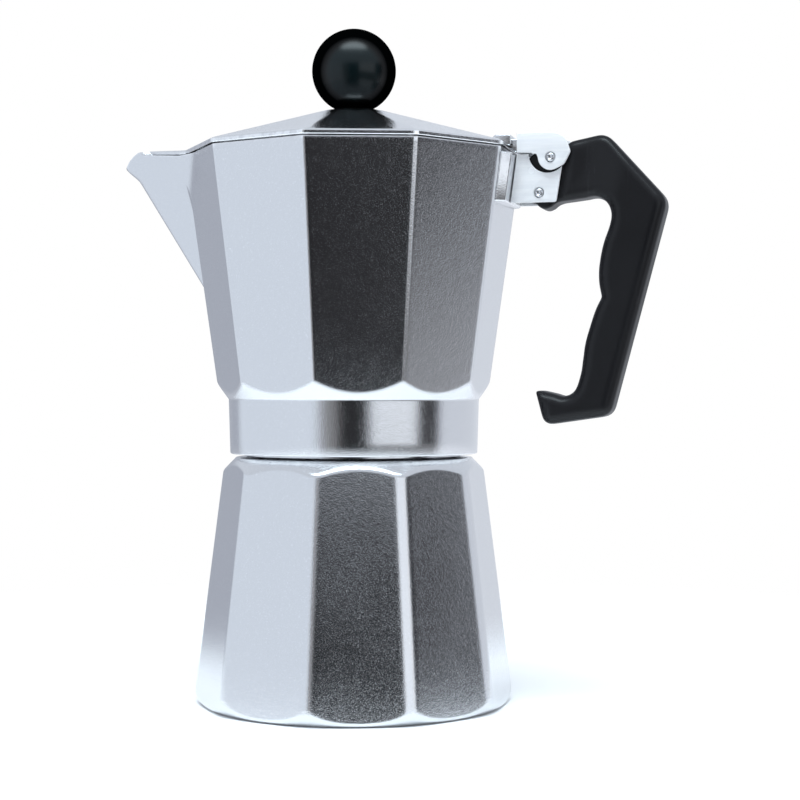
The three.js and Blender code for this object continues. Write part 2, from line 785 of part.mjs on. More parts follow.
function makeBeak() {
  const stations = [
    [-(spoutFlatOut - beakOverlap), beakRootHalfWidth, 1.3 * beakRidge],
    [-spoutFlatOut, beakRootHalfWidth - 1, beakRidge],
    [-(spoutLipOut - 3), beakTipHalfWidth + 1.3, 0.15 * beakRidge],
    [-(spoutLipOut - 0.9), beakTipHalfWidth - 1, 0.05 * beakRidge],
  ];
  const sections = stations.map(([x, half, ridge]) => {
    const bottom = spoutTopAt(-x) + gap;
    const top = bottom + beakThickness;
    return [
      [x, -half, bottom],
      [x, half, bottom],
      [x, half, top],
      [x, 0, top + ridge],
      [x, -half, top],
    ];
  });
  return loft(sections);
}

function makeLid() {
  const lipRadius = collectorRimRadius - collectorWall / apothemShare - lidLipGap;
  const lipInner = lipRadius - lidLipWall;
  const undersideAt = (r) => lidTopZ - lidThickness - lidSlope * (r - lidPlateauRadius);
  const shell = ring(
    [
      [lidScrewHoleRadius, lidTopZ - lidThickness],
      [lidPlateauRadius, lidTopZ - lidThickness],
      [lipInner, undersideAt(lipInner)],
      [lipInner, rimZ - lidLipDepth],
      [lipRadius, rimZ - lidLipDepth],
      [lipRadius, lidBottomZ],
      [lidRadius, lidBottomZ],
      [lidRadius, lidSkirtTopZ],
      [lidPlateauRadius, lidTopZ],
      [lidScrewHoleRadius, lidTopZ],
    ],
    facetCount,
  );
  const lugTopZ = plateTopZ - plateThickness - gap;
  const lugBottomZ = bracketTopZ + 0.6;
  const lug = outline([
    [lipInner * apothemShare + 1, lidBottomZ + 0.3],
    [rimFlatRadius + 0.4, lidBottomZ + 0.1],
    [plateStartOut - 0.6, lugBottomZ],
    [lugEndOut, lugBottomZ],
    [lugEndOut, lugTopZ],
    [lidBossEndOut - 1, lugTopZ],
  ]);
  const boss = outline([
    [lidBossEndOut - 8, lidSkirtTopZ],
    [lidBossEndOut, lidSkirtTopZ],
    [lidBossEndOut, plateTopZ - 0.2],
    [lidBossEndOut - 5.5, plateTopZ - 0.2],
  ]);
  let body = shell.add(makeBeak());
  body = body.add(solid(sideways(lug, lugHalfWidth)));
  body = body.add(solid(sideways(boss, lidBossHalfWidth)));
  for (const side of [-1, 1]) {
    const hole = rod(hingeRivetRadius + gap, lugBottomZ - 1, lugTopZ + 1, 12);
    body = body.subtract(hole.translate([hingeRivetOut, (side * hingeRivetSpacing) / 2, 0]));
  }
  return body;
}

addCast("lid_shell", makeLid());

function makeKnob() {
  const bottomZ = lidTopZ + gap;
  const centreZ = lidTopZ + knobCentreHeight;
  const profile = [
    [0, bottomZ],
    [knobFootRadius, bottomZ],
    [knobFootRadius - 0.6, bottomZ + knobFootHeight / 2],
    [knobNeckRadius, bottomZ + knobFootHeight],
  ];
  const startAngle = -Math.acos(knobNeckRadius / knobRadius);
  const ballSteps = 10;
  for (let i = 1; i <= ballSteps; i++) {
    const angle = startAngle + ((Math.PI / 2 - startAngle) * i) / ballSteps;
    const radius = i === ballSteps ? 0 : knobRadius * Math.cos(angle);
    profile.push([radius, centreZ + knobRadius * Math.sin(angle)]);
  }
  const bore = rod(screwRadius + gap, bottomZ - 1, bottomZ + knobBoreDepth, 12);
  return turned(profile, 24).subtract(bore);
}

addPlastic("lid_knob", makeKnob());

function makeKnobScrew() {
  const headTopZ = lidTopZ - lidThickness - 2 * gap - washerThickness;
  const shankTopZ = lidTopZ + knobBoreDepth - 1;
  const body = turned([
    [0, headTopZ - screwHeadHeight],
    [screwHeadRadius - 0.6, headTopZ - screwHeadHeight],
    [screwHeadRadius, headTopZ - screwHeadHeight + 0.6],
    [screwHeadRadius, headTopZ],
    [screwRadius, headTopZ],
    [screwRadius, shankTopZ],
    [0, shankTopZ],
  ], 12);
  const slotHalf = 0.5;
  const slot = outline([
    [-screwHeadRadius - 1, headTopZ - screwHeadHeight - 1],
    [screwHeadRadius + 1, headTopZ - screwHeadHeight - 1],
    [screwHeadRadius + 1, headTopZ - screwHeadHeight + 1],
    [-screwHeadRadius - 1, headTopZ - screwHeadHeight + 1],
  ]);
  return body.subtract(solid(sideways(slot, slotHalf)));
}

addSteel("knob_screw", makeKnobScrew());

const washerTopZ = lidTopZ - lidThickness - gap;
addSteel("knob_washer", ring([
  [screwRadius + gap, washerTopZ - washerThickness],
  [washerRadius, washerTopZ - washerThickness],
  [washerRadius, washerTopZ],
  [screwRadius + gap, washerTopZ],
], smallSteps));

function makeHingePlate() {
  const lowerZ = bracketTopZ + 0.3;
  const cheek = new THREE.Shape();
  cheek.moveTo(plateStartOut, lowerZ);
  cheek.lineTo(hingeOut - plateEyeRadius - 2.2, lowerZ - 0.2);
  cheek.quadraticCurveTo(hingeOut - plateEyeRadius, lowerZ - 0.4, hingeOut - plateEyeRadius, hingeZ - 0.5);
  cheek.absarc(hingeOut, hingeZ, plateEyeRadius, Math.PI * 1.05, Math.PI * 1.65, false);
  cheek.lineTo(hingeOut + 4.2, hingeZ - 2.2);
  cheek.lineTo(hingeOut + 6.2, hingeZ + 1.6);
  cheek.lineTo(hingeOut + 5.1, plateTopZ - 2.9);
  cheek.quadraticCurveTo(hingeOut + 3.2, plateTopZ, hingeOut + 0.6, plateTopZ);
  cheek.lineTo(plateStartOut, plateTopZ);
  const web = outline([
    [plateStartOut, plateTopZ - plateThickness],
    [plateStartOut + plateWebLength, plateTopZ - plateThickness],
    [plateStartOut + plateWebLength, plateTopZ],
    [plateStartOut, plateTopZ],
  ]);
  const slab = solid(sideways(cheek, plateOuterHalf));
  const between = solid(sideways(outline([
    [plateStartOut - 5, hingeZ - 10],
    [hingeOut + 10, hingeZ - 10],
    [hingeOut + 10, plateTopZ + 5],
    [plateStartOut - 5, plateTopZ + 5],
  ]), plateInnerHalf));
  let body = slab.subtract(between).add(solid(sideways(web, plateOuterHalf)));
  const eye = alongY(rod(hingePinRadius + pinHoleGap, -plateOuterHalf - 1, plateOuterHalf + 1));
  body = body.subtract(eye.translate([hingeOut, 0, hingeZ]));
  for (const side of [-1, 1]) {
    const hole = turned([
      [0, plateTopZ - plateThickness - 1],
      [hingeRivetRadius + gap, plateTopZ - plateThickness - 1],
      [hingeRivetRadius + gap, plateTopZ - plateThickness],
      [hingeRivetHeadRadius + gap, plateTopZ],
      [hingeRivetHeadRadius + gap, plateTopZ + 1],
      [0, plateTopZ + 1],
    ], 12);
    body = body.subtract(hole.translate([hingeRivetOut, (side * hingeRivetSpacing) / 2, 0]));
  }
  return body;
}

addSheet("lid_hinge_plate", makeHingePlate());

for (const [name, side] of [["hinge_rivet_near", -1], ["hinge_rivet_far", 1]]) {
  const lugBottomZ = bracketTopZ + 0.6;
  const rivet = turned([
    [0, lugBottomZ - gap - 0.2],
    [hingeRivetHeadRadius - 0.4, lugBottomZ - gap],
    [hingeRivetRadius, lugBottomZ - gap],
    [hingeRivetRadius, plateTopZ - plateThickness],
    [hingeRivetHeadRadius, plateTopZ],
    [0, plateTopZ],
  ], 12);
  addSteel(name, rivet.translate([hingeRivetOut, (side * hingeRivetSpacing) / 2, 0]));
}

// A pin along Y with slightly domed ends.
function makeCrossPin(radius, halfLength, out, z) {
  const dome = 0.3;
  const pin = turned([
    [0, -halfLength],
    [radius - dome, -halfLength],
    [radius, -halfLength + dome],
    [radius, halfLength - dome],
    [radius - dome, halfLength],
    [0, halfLength],
  ], smallSteps);
  return alongY(pin).translate([out, 0, z]);
}

addSteel("hinge_pin", makeCrossPin(hingePinRadius, plateOuterHalf + pinProud, hingeOut, hingeZ));

// ---- Handle bracket and its rivets ----

function bracketBackAt(z) {
  return collectorRadiusAt(z) * apothemShare + padHeight + gap;
}

function makeBracket() {
  const notchOut = hingeOut - 1.1;
  const notchZ = bracketTopZ;
  const notchEnd = Math.acos((bracketTopOut - notchOut) / bracketNotchRadius);
  const cheek = new THREE.Shape();
  cheek.moveTo(bracketBackAt(bracketBottomZ), bracketBottomZ);
  cheek.lineTo(bracketBottomOut, bracketBottomZ);
  cheek.absarc(notchOut, notchZ, bracketNotchRadius, -notchEnd, -Math.PI, true);
  cheek.lineTo(bracketBackAt(bracketTopZ), bracketTopZ);
  const slab = solid(sideways(cheek, bracketOuterHalf));
  const insideAt = (z) => bracketBackAt(z) + bracketThickness;
  const between = solid(sideways(outline([
    [insideAt(bracketBottomZ - 1), bracketBottomZ - 1],
    [bracketTopOut + 5, bracketBottomZ - 1],
    [bracketTopOut + 5, bracketTopZ + 1],
    [insideAt(bracketTopZ + 1), bracketTopZ + 1],
  ]), bracketInnerHalf));
  let body = slab.subtract(between);
  const hole = alongY(rod(hingePinRadius + pinHoleGap, -bracketOuterHalf - 1, bracketOuterHalf + 1));
  body = body.subtract(hole.translate([handleRivetOut, 0, handleRivetZ]));
  for (const drop of bracketRivetDrops) {
    const bore = rod(bracketRivetRadius + gap, padHeight - 1, padHeight + 4);
    body = body.subtract(onHandleFacet(bore, rimZ - drop));
  }
  return body;
}

addSheet("handle_bracket", makeBracket());

bracketRivetDrops.forEach((drop, i) => {
  const inner = -collectorWall - gap;
  const outer = padHeight + gap + bracketThickness + gap;
  const rivet = turned([
    [0, -rivetInnerEnd],
    [bracketRivetHeadRadius - 0.8, -rivetInnerEnd],
    [bracketRivetHeadRadius, inner],
    [bracketRivetRadius, inner],
    [bracketRivetRadius, outer],
    [bracketRivetHeadRadius, outer],
    [bracketRivetHeadRadius - 0.8, outer + bracketRivetHeadHeight],
    [0, outer + bracketRivetHeadHeight],
  ], smallSteps);
  const name = ["bracket_rivet_upper", "bracket_rivet_lower"][i];
  addSteel(name, onHandleFacet(rivet, rimZ - drop));
});

const handleRivet = makeCrossPin(hingePinRadius, bracketOuterHalf + pinProud, handleRivetOut, handleRivetZ);
addSteel("handle_rivet", handleRivet);

// ---- Handle ----

// Heights in the handle are measured down from the rim.
function makeHandle() {
  const at = (x, drop) => new THREE.Vector2(bracketTopOut + x, rimZ - drop);
  const neckLeft = bracketBottomOut + gap;
  const start = bracketTopOut;
  const grip = new THREE.Shape();
  grip.moveTo(neckLeft, rimZ - 16.3);
  grip.lineTo(bracketTopOut + gap, rimZ - 5.6);
  grip.lineTo(bracketTopOut + gap + 0.4, rimZ + 2);
  grip.lineTo(start + 11.6, rimZ + 4);
  grip.quadraticCurveTo(start + 13.6, rimZ + 4.3, start + 15.2, rimZ + 2.6);
  grip.lineTo(start + 30.6, rimZ - 14);
  grip.quadraticCurveTo(start + 32.5, rimZ - 16, start + 31.7, rimZ - 18.6);
  grip.lineTo(start + 15.4, rimZ - 79.4);
  grip.quadraticCurveTo(start + 14.6, rimZ - 82.2, start + 12, rimZ - 82.6);
  grip.lineTo(start - 3.6, rimZ - 84.8);
  grip.quadraticCurveTo(start - 5, rimZ - 84.9, start - 5.4, rimZ - 83.6);
  grip.lineTo(start - 7.9, rimZ - 76.2);
  grip.quadraticCurveTo(start - 8.1, rimZ - 74.6, start - 6.6, rimZ - 74.4);
  grip.splineThru([at(-2.6, 75.3), at(0.8, 76.1), at(3.9, 74.4), at(5.7, 69.4), at(6.4, 64.9)]);
  grip.splineThru([at(7.1, 60), at(8.5, 55), at(10.3, 49.6), at(12.2, 45.8)]);
  grip.splineThru([at(11.4, 41.8), at(11.3, 37.4), at(12, 32.4), at(13, 28.4), at(14.6, 23.9)]);
  grip.splineThru([at(15.1, 20.2), at(13.8, 16.9), at(10.6, 14.9), at(6.9, 15.3)]);

  const geometry = sideways(grip, handleNeckHalfWidth, handleEdge, 3);
  const positions = geometry.attributes.position;
  for (let i = 0; i < positions.count; i++) {
    const distance = Math.hypot(positions.getX(i) - hingeOut, positions.getZ(i) - hingeZ);
    const share = THREE.MathUtils.smoothstep(distance, handleFlareStart, handleFlareEnd);
    const widen = 1 + (handleGripHalfWidth / handleNeckHalfWidth - 1) * share;
    positions.setY(i, positions.getY(i) * widen);
  }

  const knuckle = hingePinRadius + handleKnuckleWall;
  const tongueLeft = bracketBackAt(bracketTopZ) + bracketThickness + bracketRivetHeadHeight + 3 * gap;
  const tongue = new THREE.Shape();
  tongue.moveTo(tongueLeft, rimZ - 15.8);
  tongue.lineTo(handleRivetOut - 1.6, rimZ - 16.3);
  tongue.quadraticCurveTo(handleRivetOut + 1.6, rimZ - 20.2, handleRivetOut + 5, rimZ - 16.6);
  tongue.lineTo(start + 4, rimZ - 14);
  tongue.lineTo(start + 4, rimZ + 0.5);
  tongue.lineTo(bracketTopOut + gap + 0.4, rimZ + 0.5);
  tongue.absarc(hingeOut, hingeZ, knuckle, Math.PI * 0.25, Math.PI * 0.85, false);
  tongue.lineTo(tongueLeft, rimZ - 2.6);
  const holeAt = (x, z) =>
    alongY(rod(hingePinRadius + pinHoleGap, -tongueHalfWidth - 1, tongueHalfWidth + 1)).translate([x, 0, z]);
  return solid(geometry)
    .add(solid(sideways(tongue, tongueHalfWidth)))
    .subtract(holeAt(hingeOut, hingeZ))
    .subtract(holeAt(handleRivetOut, handleRivetZ));
}

addPlastic("handle_grip", makeHandle());

export default pot;
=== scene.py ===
import math
import bpy
import bmesh
from mathutils import Matrix, Vector


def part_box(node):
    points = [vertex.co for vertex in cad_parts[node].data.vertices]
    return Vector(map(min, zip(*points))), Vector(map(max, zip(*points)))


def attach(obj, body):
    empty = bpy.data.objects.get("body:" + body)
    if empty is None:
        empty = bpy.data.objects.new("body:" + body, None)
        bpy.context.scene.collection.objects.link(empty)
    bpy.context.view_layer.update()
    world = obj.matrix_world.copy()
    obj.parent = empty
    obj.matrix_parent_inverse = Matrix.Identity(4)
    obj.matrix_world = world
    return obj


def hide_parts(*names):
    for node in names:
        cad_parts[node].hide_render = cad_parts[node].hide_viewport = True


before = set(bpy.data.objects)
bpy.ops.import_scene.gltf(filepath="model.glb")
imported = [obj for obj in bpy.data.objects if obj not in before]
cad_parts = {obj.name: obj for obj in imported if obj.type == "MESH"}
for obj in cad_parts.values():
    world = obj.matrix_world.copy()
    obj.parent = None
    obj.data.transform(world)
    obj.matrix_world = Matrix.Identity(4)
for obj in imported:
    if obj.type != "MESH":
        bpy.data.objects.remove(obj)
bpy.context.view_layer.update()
mm = 0.001
facets = 10
turn = 2 * math.pi

# boxes of the frame's nodes that the pieces are built to
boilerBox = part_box("boiler_body")
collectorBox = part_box("collector_body")
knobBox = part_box("lid_knob")
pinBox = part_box("hinge_pin")
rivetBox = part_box("handle_rivet")
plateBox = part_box("lid_hinge_plate")
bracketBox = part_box("handle_bracket")
beakOver = 3.4 * mm  # the spout's lip stands this far over the rim
rimZ = collectorBox[1].z - beakOver
neckTopZ = boilerBox[1].z
hinge = (pinBox[0] + pinBox[1]) / 2
print("frame loaded, rim at", round(rimZ / mm, 2), "mm")


def nodeGroup(name, inputs, outputs):
    group = bpy.data.node_groups.new(name, "ShaderNodeTree")
    for label, kind, value in inputs:
        socket = group.interface.new_socket(label, in_out="INPUT", socket_type=kind)
        socket.default_value = value
    for label, kind in outputs:
        group.interface.new_socket(label, in_out="OUTPUT", socket_type=kind)
    return group, group.nodes.new("NodeGroupInput"), group.nodes.new("NodeGroupOutput")


def addNode(tree, kind, settings=None, **inputs):
    node = tree.nodes.new(kind)
    for key, value in (settings or {}).items():
        setattr(node, key, value)
    for key, value in inputs.items():
        socket = node.inputs[int(key[1:])] if key[1:].isdigit() else node.inputs[key]
        if isinstance(value, bpy.types.NodeSocket):
            tree.links.new(value, socket)
        else:
            socket.default_value = value
    return node


def mathNode(tree, operation, a, b=0.0, clamp=False):
    settings = {"operation": operation, "use_clamp": clamp}
    return addNode(tree, "ShaderNodeMath", settings, i0=a, i1=b).outputs[0]


def rampNode(tree, value, low, high):
    return addNode(tree, "ShaderNodeMapRange", {"interpolation_type": "SMOOTHSTEP"},
                   i0=value, i1=low, i2=high).outputs[0]


def objectPoint(tree):
    return addNode(tree, "ShaderNodeTexCoord").outputs["Object"]


def makeCastGrain():  # the fine sparkle of a polished casting
    group, given, out = nodeGroup(
        "castGrain",
        [("Grain per metre", "NodeSocketFloat", 1700.0)],
        [("Speck", "NodeSocketFloat"), ("Height", "NodeSocketFloat"), ("Patch", "NodeSocketFloat")],
    )
    point = objectPoint(group)
    fine = addNode(group, "ShaderNodeTexNoise", Vector=point, Scale=given.outputs[0],
                   Detail=3.0, Roughness=0.65)
    coarseScale = mathNode(group, "MULTIPLY", given.outputs[0], 0.28)
    coarse = addNode(group, "ShaderNodeTexNoise", Vector=point, Scale=coarseScale, Detail=2.0, Roughness=0.5)
    pits = addNode(group, "ShaderNodeTexVoronoi", {"feature": "F1"}, Vector=point, Scale=given.outputs[0])
    patch = addNode(group, "ShaderNodeTexNoise", Vector=point, Scale=38.0, Detail=3.0, Roughness=0.6)
    speck = rampNode(group, fine.outputs[0], 0.56, 0.74)
    pitDepth = rampNode(group, pits.outputs["Distance"], 0.05, 0.5)
    height = mathNode(group, "ADD", mathNode(group, "MULTIPLY", fine.outputs[0], 0.7),
                      mathNode(group, "MULTIPLY", coarse.outputs[0], 0.5))
    height = mathNode(group, "ADD", height, mathNode(group, "MULTIPLY", pitDepth, 0.25))
    group.links.new(speck, out.inputs["Speck"])
    group.links.new(height, out.inputs["Height"])
    group.links.new(rampNode(group, patch.outputs[0], 0.3, 0.7), out.inputs["Patch"])
    return group


def makeEdgeWear():  # brighter, smoother metal along raised edges
    group, given, out = nodeGroup(
        "edgeWear",
        [("Start", "NodeSocketFloat", 0.51), ("End", "NodeSocketFloat", 0.56)],
        [("Mask", "NodeSocketFloat")],
    )
    point = addNode(group, "ShaderNodeNewGeometry").outputs["Pointiness"]
    breakup = addNode(group, "ShaderNodeTexNoise", Vector=objectPoint(group), Scale=420.0, Detail=2.0)
    edge = rampNode(group, point, given.outputs[0], given.outputs[1])
    worn = mathNode(group, "MULTIPLY", edge, rampNode(group, breakup.outputs[0], 0.25, 0.6))
    group.links.new(worn, out.inputs["Mask"])
    return group


def makeHandling():  # soft smears and hairline scratches
    group, given, out = nodeGroup(
        "handling",
        [("Scratch per metre", "NodeSocketFloat", 260.0)],
        [("Smear", "NodeSocketFloat"), ("Scratch", "NodeSocketFloat")],
    )
    point = objectPoint(group)
    stretched = addNode(group, "ShaderNodeMapping", Vector=point, Scale=(1.0, 1.0, 0.06))
    lines = addNode(group, "ShaderNodeTexNoise", Vector=stretched.outputs[0], Scale=given.outputs[0],
                    Detail=5.0, Roughness=0.75)
    smear = addNode(group, "ShaderNodeTexNoise", Vector=point, Scale=22.0, Detail=2.0, Distortion=0.6)
    group.links.new(rampNode(group, smear.outputs[0], 0.35, 0.7), out.inputs["Smear"])
    group.links.new(rampNode(group, lines.outputs[0], 0.6, 0.68), out.inputs["Scratch"])
    return group


castGrain = makeCastGrain()
edgeWear = makeEdgeWear()
handling = makeHandling()
print("node groups made")


def startMaterial(name, metallic):
    material = bpy.data.materials.new(name)
    material.use_nodes = True
    shader = material.node_tree.nodes["Principled BSDF"]
    shader.inputs["Metallic"].default_value = metallic
    return material, material.node_tree, shader


def placeGroup(tree, group, **values):
    node = tree.nodes.new("ShaderNodeGroup")
    node.node_tree = group
    for label, value in values.items():
        node.inputs[label.replace("_", " ")].default_value = value
    return node


def mixColor(tree, share, first, second):
    node = tree.nodes.new("ShaderNodeMix")
    node.data_type = "RGBA"
    tree.links.new(share, node.inputs["Factor"])
    for socket, value in ((node.inputs[6], first), (node.inputs[7], second)):
        if isinstance(value, bpy.types.NodeSocket):
            tree.links.new(value, socket)
        else:
            socket.default_value = (*value, 1)
    return node.outputs[2]


def blendValue(tree, share, low, high):
    return addNode(tree, "ShaderNodeMapRange", i0=share, i3=low, i4=high).outputs[0]


def addLook(tree, shader, base, rough):
    tree.links.new(base, shader.inputs["Base Color"])
    tree.links.new(rough, shader.inputs["Roughness"])


def bumpNormal(tree, shader, height, strength, distance):
    bump = addNode(tree, "ShaderNodeBump", Height=height, Strength=strength, Distance=distance)
    tree.links.new(bump.outputs[0], shader.inputs["Normal"])


castLook = {
    "light": (0.85, 0.86, 0.875), "dark": (0.70, 0.71, 0.73), "worn": (0.95, 0.96, 0.97),
    "rough": (0.10, 0.125), "grain": 2700.0, "bump": 0.55, "bumpDistance": 0.00006, "grainRough": 0.14,
}


def makeCastMaterial(name, look):
    material, tree, shader = startMaterial(name, 1.0)
    grain = placeGroup(tree, castGrain, Grain_per_metre=look["grain"])
    wear = placeGroup(tree, edgeWear, Start=0.515, End=0.58)
    marks = placeGroup(tree, handling)
    base = mixColor(tree, grain.outputs["Speck"], look["dark"], look["light"])
    base = mixColor(tree, wear.outputs["Mask"], base, look["worn"])
    rough = blendValue(tree, grain.outputs["Patch"], *look["rough"])
    speckled = mathNode(tree, "MULTIPLY", grain.outputs["Speck"], look["grainRough"])
    rough = mathNode(tree, "ADD", rough, speckled)
    rough = mathNode(tree, "ADD", rough, mathNode(tree, "MULTIPLY", marks.outputs["Smear"], 0.015))
    rough = mathNode(tree, "SUBTRACT", rough, mathNode(tree, "MULTIPLY", wear.outputs["Mask"], 0.06), True)
    addLook(tree, shader, base, rough)
    height = mathNode(tree, "SUBTRACT", grain.outputs["Height"],
                      mathNode(tree, "MULTIPLY", marks.outputs["Scratch"], 0.15))
    bumpNormal(tree, shader, height, look["bump"], look["bumpDistance"])
    return material


sheetLook = {"light": (0.97, 0.975, 0.985), "dark": (0.90, 0.91, 0.93), "rough": (0.2, 0.3), "line": 900.0,
             "metallic": 0.12}


def makeSheetMaterial(name, look):  # rolled or turned metal with a directional grain
    material, tree, shader = startMaterial(name, look.get("metallic", 1.0))
    stretched = addNode(tree, "ShaderNodeMapping", Vector=objectPoint(tree), Scale=(0.08, 1.0, 1.0))
    lines = addNode(tree, "ShaderNodeTexNoise", Vector=stretched.outputs[0], Scale=look["line"], Detail=4.0)
    wear = placeGroup(tree, edgeWear, Start=0.52, End=0.6)
    marks = placeGroup(tree, handling, Scratch_per_metre=500.0)
    lineMask = rampNode(tree, lines.outputs[0], 0.3, 0.7)
    base = mixColor(tree, lineMask, look["dark"], look["light"])
    bright = tuple(min(1.0, value + 0.08) for value in look["light"])
    base = mixColor(tree, wear.outputs["Mask"], base, bright)
    addLook(tree, shader, base, blendValue(tree, marks.outputs["Smear"], *look["rough"]))
    height = mathNode(tree, "ADD", lineMask, mathNode(tree, "MULTIPLY", marks.outputs["Scratch"], -0.6))
    bumpNormal(tree, shader, height, 0.12, 0.00003)
    return material


plasticLook = {"base": (0.0065, 0.0065, 0.0078), "worn": (0.022, 0.022, 0.025), "rough": (0.30, 0.38),
               "texture": 2600.0, "shine": (0.26, 0.05), "fade": (0.2, 0.6)}


def fadingShine(tree, look):  # the dark plastics keep a deep black at their turned-away sides
    facing = addNode(tree, "ShaderNodeLayerWeight", Blend=0.5).outputs["Facing"]
    return blendValue(tree, rampNode(tree, facing, *look["fade"]), *look["shine"])


def makeSatinPlastic(name, look):
    material, tree, shader = startMaterial(name, 0.0)
    texture = addNode(tree, "ShaderNodeTexVoronoi", {"feature": "SMOOTH_F1"}, Vector=objectPoint(tree),
                      Scale=look["texture"])
    wear = placeGroup(tree, edgeWear, Start=0.53, End=0.66)
    marks = placeGroup(tree, handling, Scratch_per_metre=380.0)
    scuffed = mathNode(tree, "MULTIPLY", marks.outputs["Scratch"], 0.35)
    worn = mathNode(tree, "ADD", mathNode(tree, "MULTIPLY", wear.outputs["Mask"], 0.5), scuffed, True)
    base = mixColor(tree, worn, look["base"], look["worn"])
    addLook(tree, shader, base, blendValue(tree, marks.outputs["Smear"], *look["rough"]))
    tree.links.new(fadingShine(tree, look), shader.inputs["Specular IOR Level"])
    bumpNormal(tree, shader, texture.outputs["Distance"], 0.2, 0.00005)
    return material


# knob colours: base is a dark teal that is a painted reflection of the ball's middle, side is painted shade
# (near black) where the ball turns away, haze is the colour of smears
knobLook = {"base": (0.0014, 0.0058, 0.007), "haze": (0.0028, 0.009, 0.0105),
            "side": (0.0005, 0.0007, 0.0008), "rough": (0.2, 0.27), "shine": (0.3, 0.0), "fade": (0.2, 0.42)}


def makeGlossPlastic(name, look):
    material, tree, shader = startMaterial(name, 0.0)
    marks = placeGroup(tree, handling, Scratch_per_metre=300.0)
    base = mixColor(tree, marks.outputs["Smear"], look["base"], look["haze"])
    facing = addNode(tree, "ShaderNodeLayerWeight", Blend=0.5).outputs["Facing"]
    # painted reflection and shade: the teal middle darkens to the near-black side tone as the surface turns
    # away from view
    base = mixColor(tree, rampNode(tree, facing, 0.16, 0.30), base, look["side"])
    addLook(tree, shader, base, blendValue(tree, marks.outputs["Smear"], *look["rough"]))
    tree.links.new(fadingShine(tree, look), shader.inputs["Specular IOR Level"])
    bumpNormal(tree, shader, marks.outputs["Scratch"], 0.03, 0.00002)
    return material


rubberLook = {"base": (0.74, 0.73, 0.67), "worn": (0.55, 0.50, 0.42), "rough": (0.5, 0.7)}


def makeRubber(name, look):
    material, tree, shader = startMaterial(name, 0.0)
    grain = placeGroup(tree, castGrain, Grain_per_metre=900.0)
    base = mixColor(tree, grain.outputs["Patch"], look["base"], look["worn"])
    addLook(tree, shader, base, blendValue(tree, grain.outputs["Patch"], *look["rough"]))
    bumpNormal(tree, shader, grain.outputs["Height"], 0.2, 0.00005)
    return material


castAluminium = makeCastMaterial("castAluminium", castLook)
spunAluminium = makeSheetMaterial("spunAluminium", {"light": (0.74, 0.75, 0.76), "dark": (0.6, 0.61, 0.62),
                                                    "rough": (0.24, 0.36), "line": 700.0})
brightSheet = makeSheetMaterial("brightSheet", sheetLook)
pinSteel = makeSheetMaterial("pinSteel", {"light": (0.62, 0.63, 0.65), "dark": (0.42, 0.43, 0.45),
                                          "rough": (0.2, 0.34), "line": 1600.0})
valveBrass = makeSheetMaterial("valveBrass", {"light": (0.80, 0.60, 0.28), "dark": (0.62, 0.44, 0.18),
                                              "rough": (0.2, 0.34), "line": 1300.0})
handlePlastic = makeSatinPlastic("handlePlastic", plasticLook)
knobPlastic = makeGlossPlastic("knobPlastic", knobLook)
sealRubber = makeRubber("sealRubber", rubberLook)
valveFibre = makeRubber("valveFibre", {"base": (0.30, 0.09, 0.05), "worn": (0.2, 0.06, 0.04),
                                       "rough": (0.6, 0.8)})
print("materials made")


def placed(name, data):  # a new object in the scene
    made = bpy.data.objects.new(name, data)
    bpy.context.scene.collection.objects.link(made)
    return made


def takeMesh(holder):  # keeps the mesh that an object's curve or modifiers make, and removes the object
    bpy.context.view_layer.update()
    mesh = bpy.data.meshes.new_from_object(holder.evaluated_get(bpy.context.evaluated_depsgraph_get()))
    bpy.data.objects.remove(holder)
    return mesh


def finishMesh(name, bm, sharpAngle=38):
    bmesh.ops.remove_doubles(bm, verts=bm.verts, dist=1e-7)
    bmesh.ops.recalc_face_normals(bm, faces=bm.faces)
    mesh = bpy.data.meshes.new(name)
    bm.to_mesh(mesh)
    bm.free()
    mesh.polygons.foreach_set("use_smooth", [True] * len(mesh.polygons))
    mesh.set_sharp_from_angle(angle=math.radians(sharpAngle))
    return mesh


# joins equal rings of points; the two ends meet each other or are filled in
def ringMesh(name, rows, sharpAngle, closed=False):
    bm = bmesh.new()
    made = [[bm.verts.new(point) for point in row] for row in rows]
    count = len(rows[0])
    pairs = list(zip(made, made[1:]))
    if closed:
        pairs.append((made[-1], made[0]))
    for low, high in pairs:
        for i in range(count):
            j = (i + 1) % count
            bm.faces.new((low[i], low[j], high[j], high[i]))
    if not closed:
        for row in (made[0], made[-1]):
            middle = bm.verts.new(sum((v.co for v in row), Vector()) / count)
            for i in range(count):
                bm.faces.new((row[i], row[(i + 1) % count], middle))
    return finishMesh(name, bm, sharpAngle)


# turns a profile of radius and height pairs about the Z axis
def turnedMesh(name, profile, steps, sharpAngle, closed=False):
    rows = []
    for radius, z in profile:
        radius = max(radius, 1e-6)
        rows.append([(radius * math.cos(turn * i / steps), radius * math.sin(turn * i / steps), z)
                     for i in range(steps)])
    return ringMesh(name, rows, sharpAngle, closed)


def softened(points, radius, steps=4, closed=True):  # rounds the corners of an outline
    count = len(points)
    made = []
    for i, (x, z) in enumerate(points):
        here = Vector((x, z))
        if not closed and i in (0, count - 1):
            made.append((x, z))
            continue
        before = Vector(points[i - 1]) - here
        after = Vector(points[(i + 1) % count]) - here
        reach = min(radius, before.length * 0.45, after.length * 0.45)
        start = here + before.normalized() * reach
        end = here + after.normalized() * reach
        for k in range(steps + 1):
            share = k / steps
            spot = start * (1 - share) ** 2 + here * 2 * share * (1 - share) + end * share ** 2
            made.append((spot.x, spot.y))
    return made


def lerp(a, b, share):
    return a + (b - a) * share


def arcLoop(x, z, radius, start, end, steps):
    angles = [lerp(start, end, i / steps) for i in range(steps + 1)]
    return [(x + radius * math.cos(angle), z + radius * math.sin(angle)) for angle in angles]


def circleLoop(x, z, radius, steps=28):
    return arcLoop(x, z, radius, 0, turn, steps)[:-1]


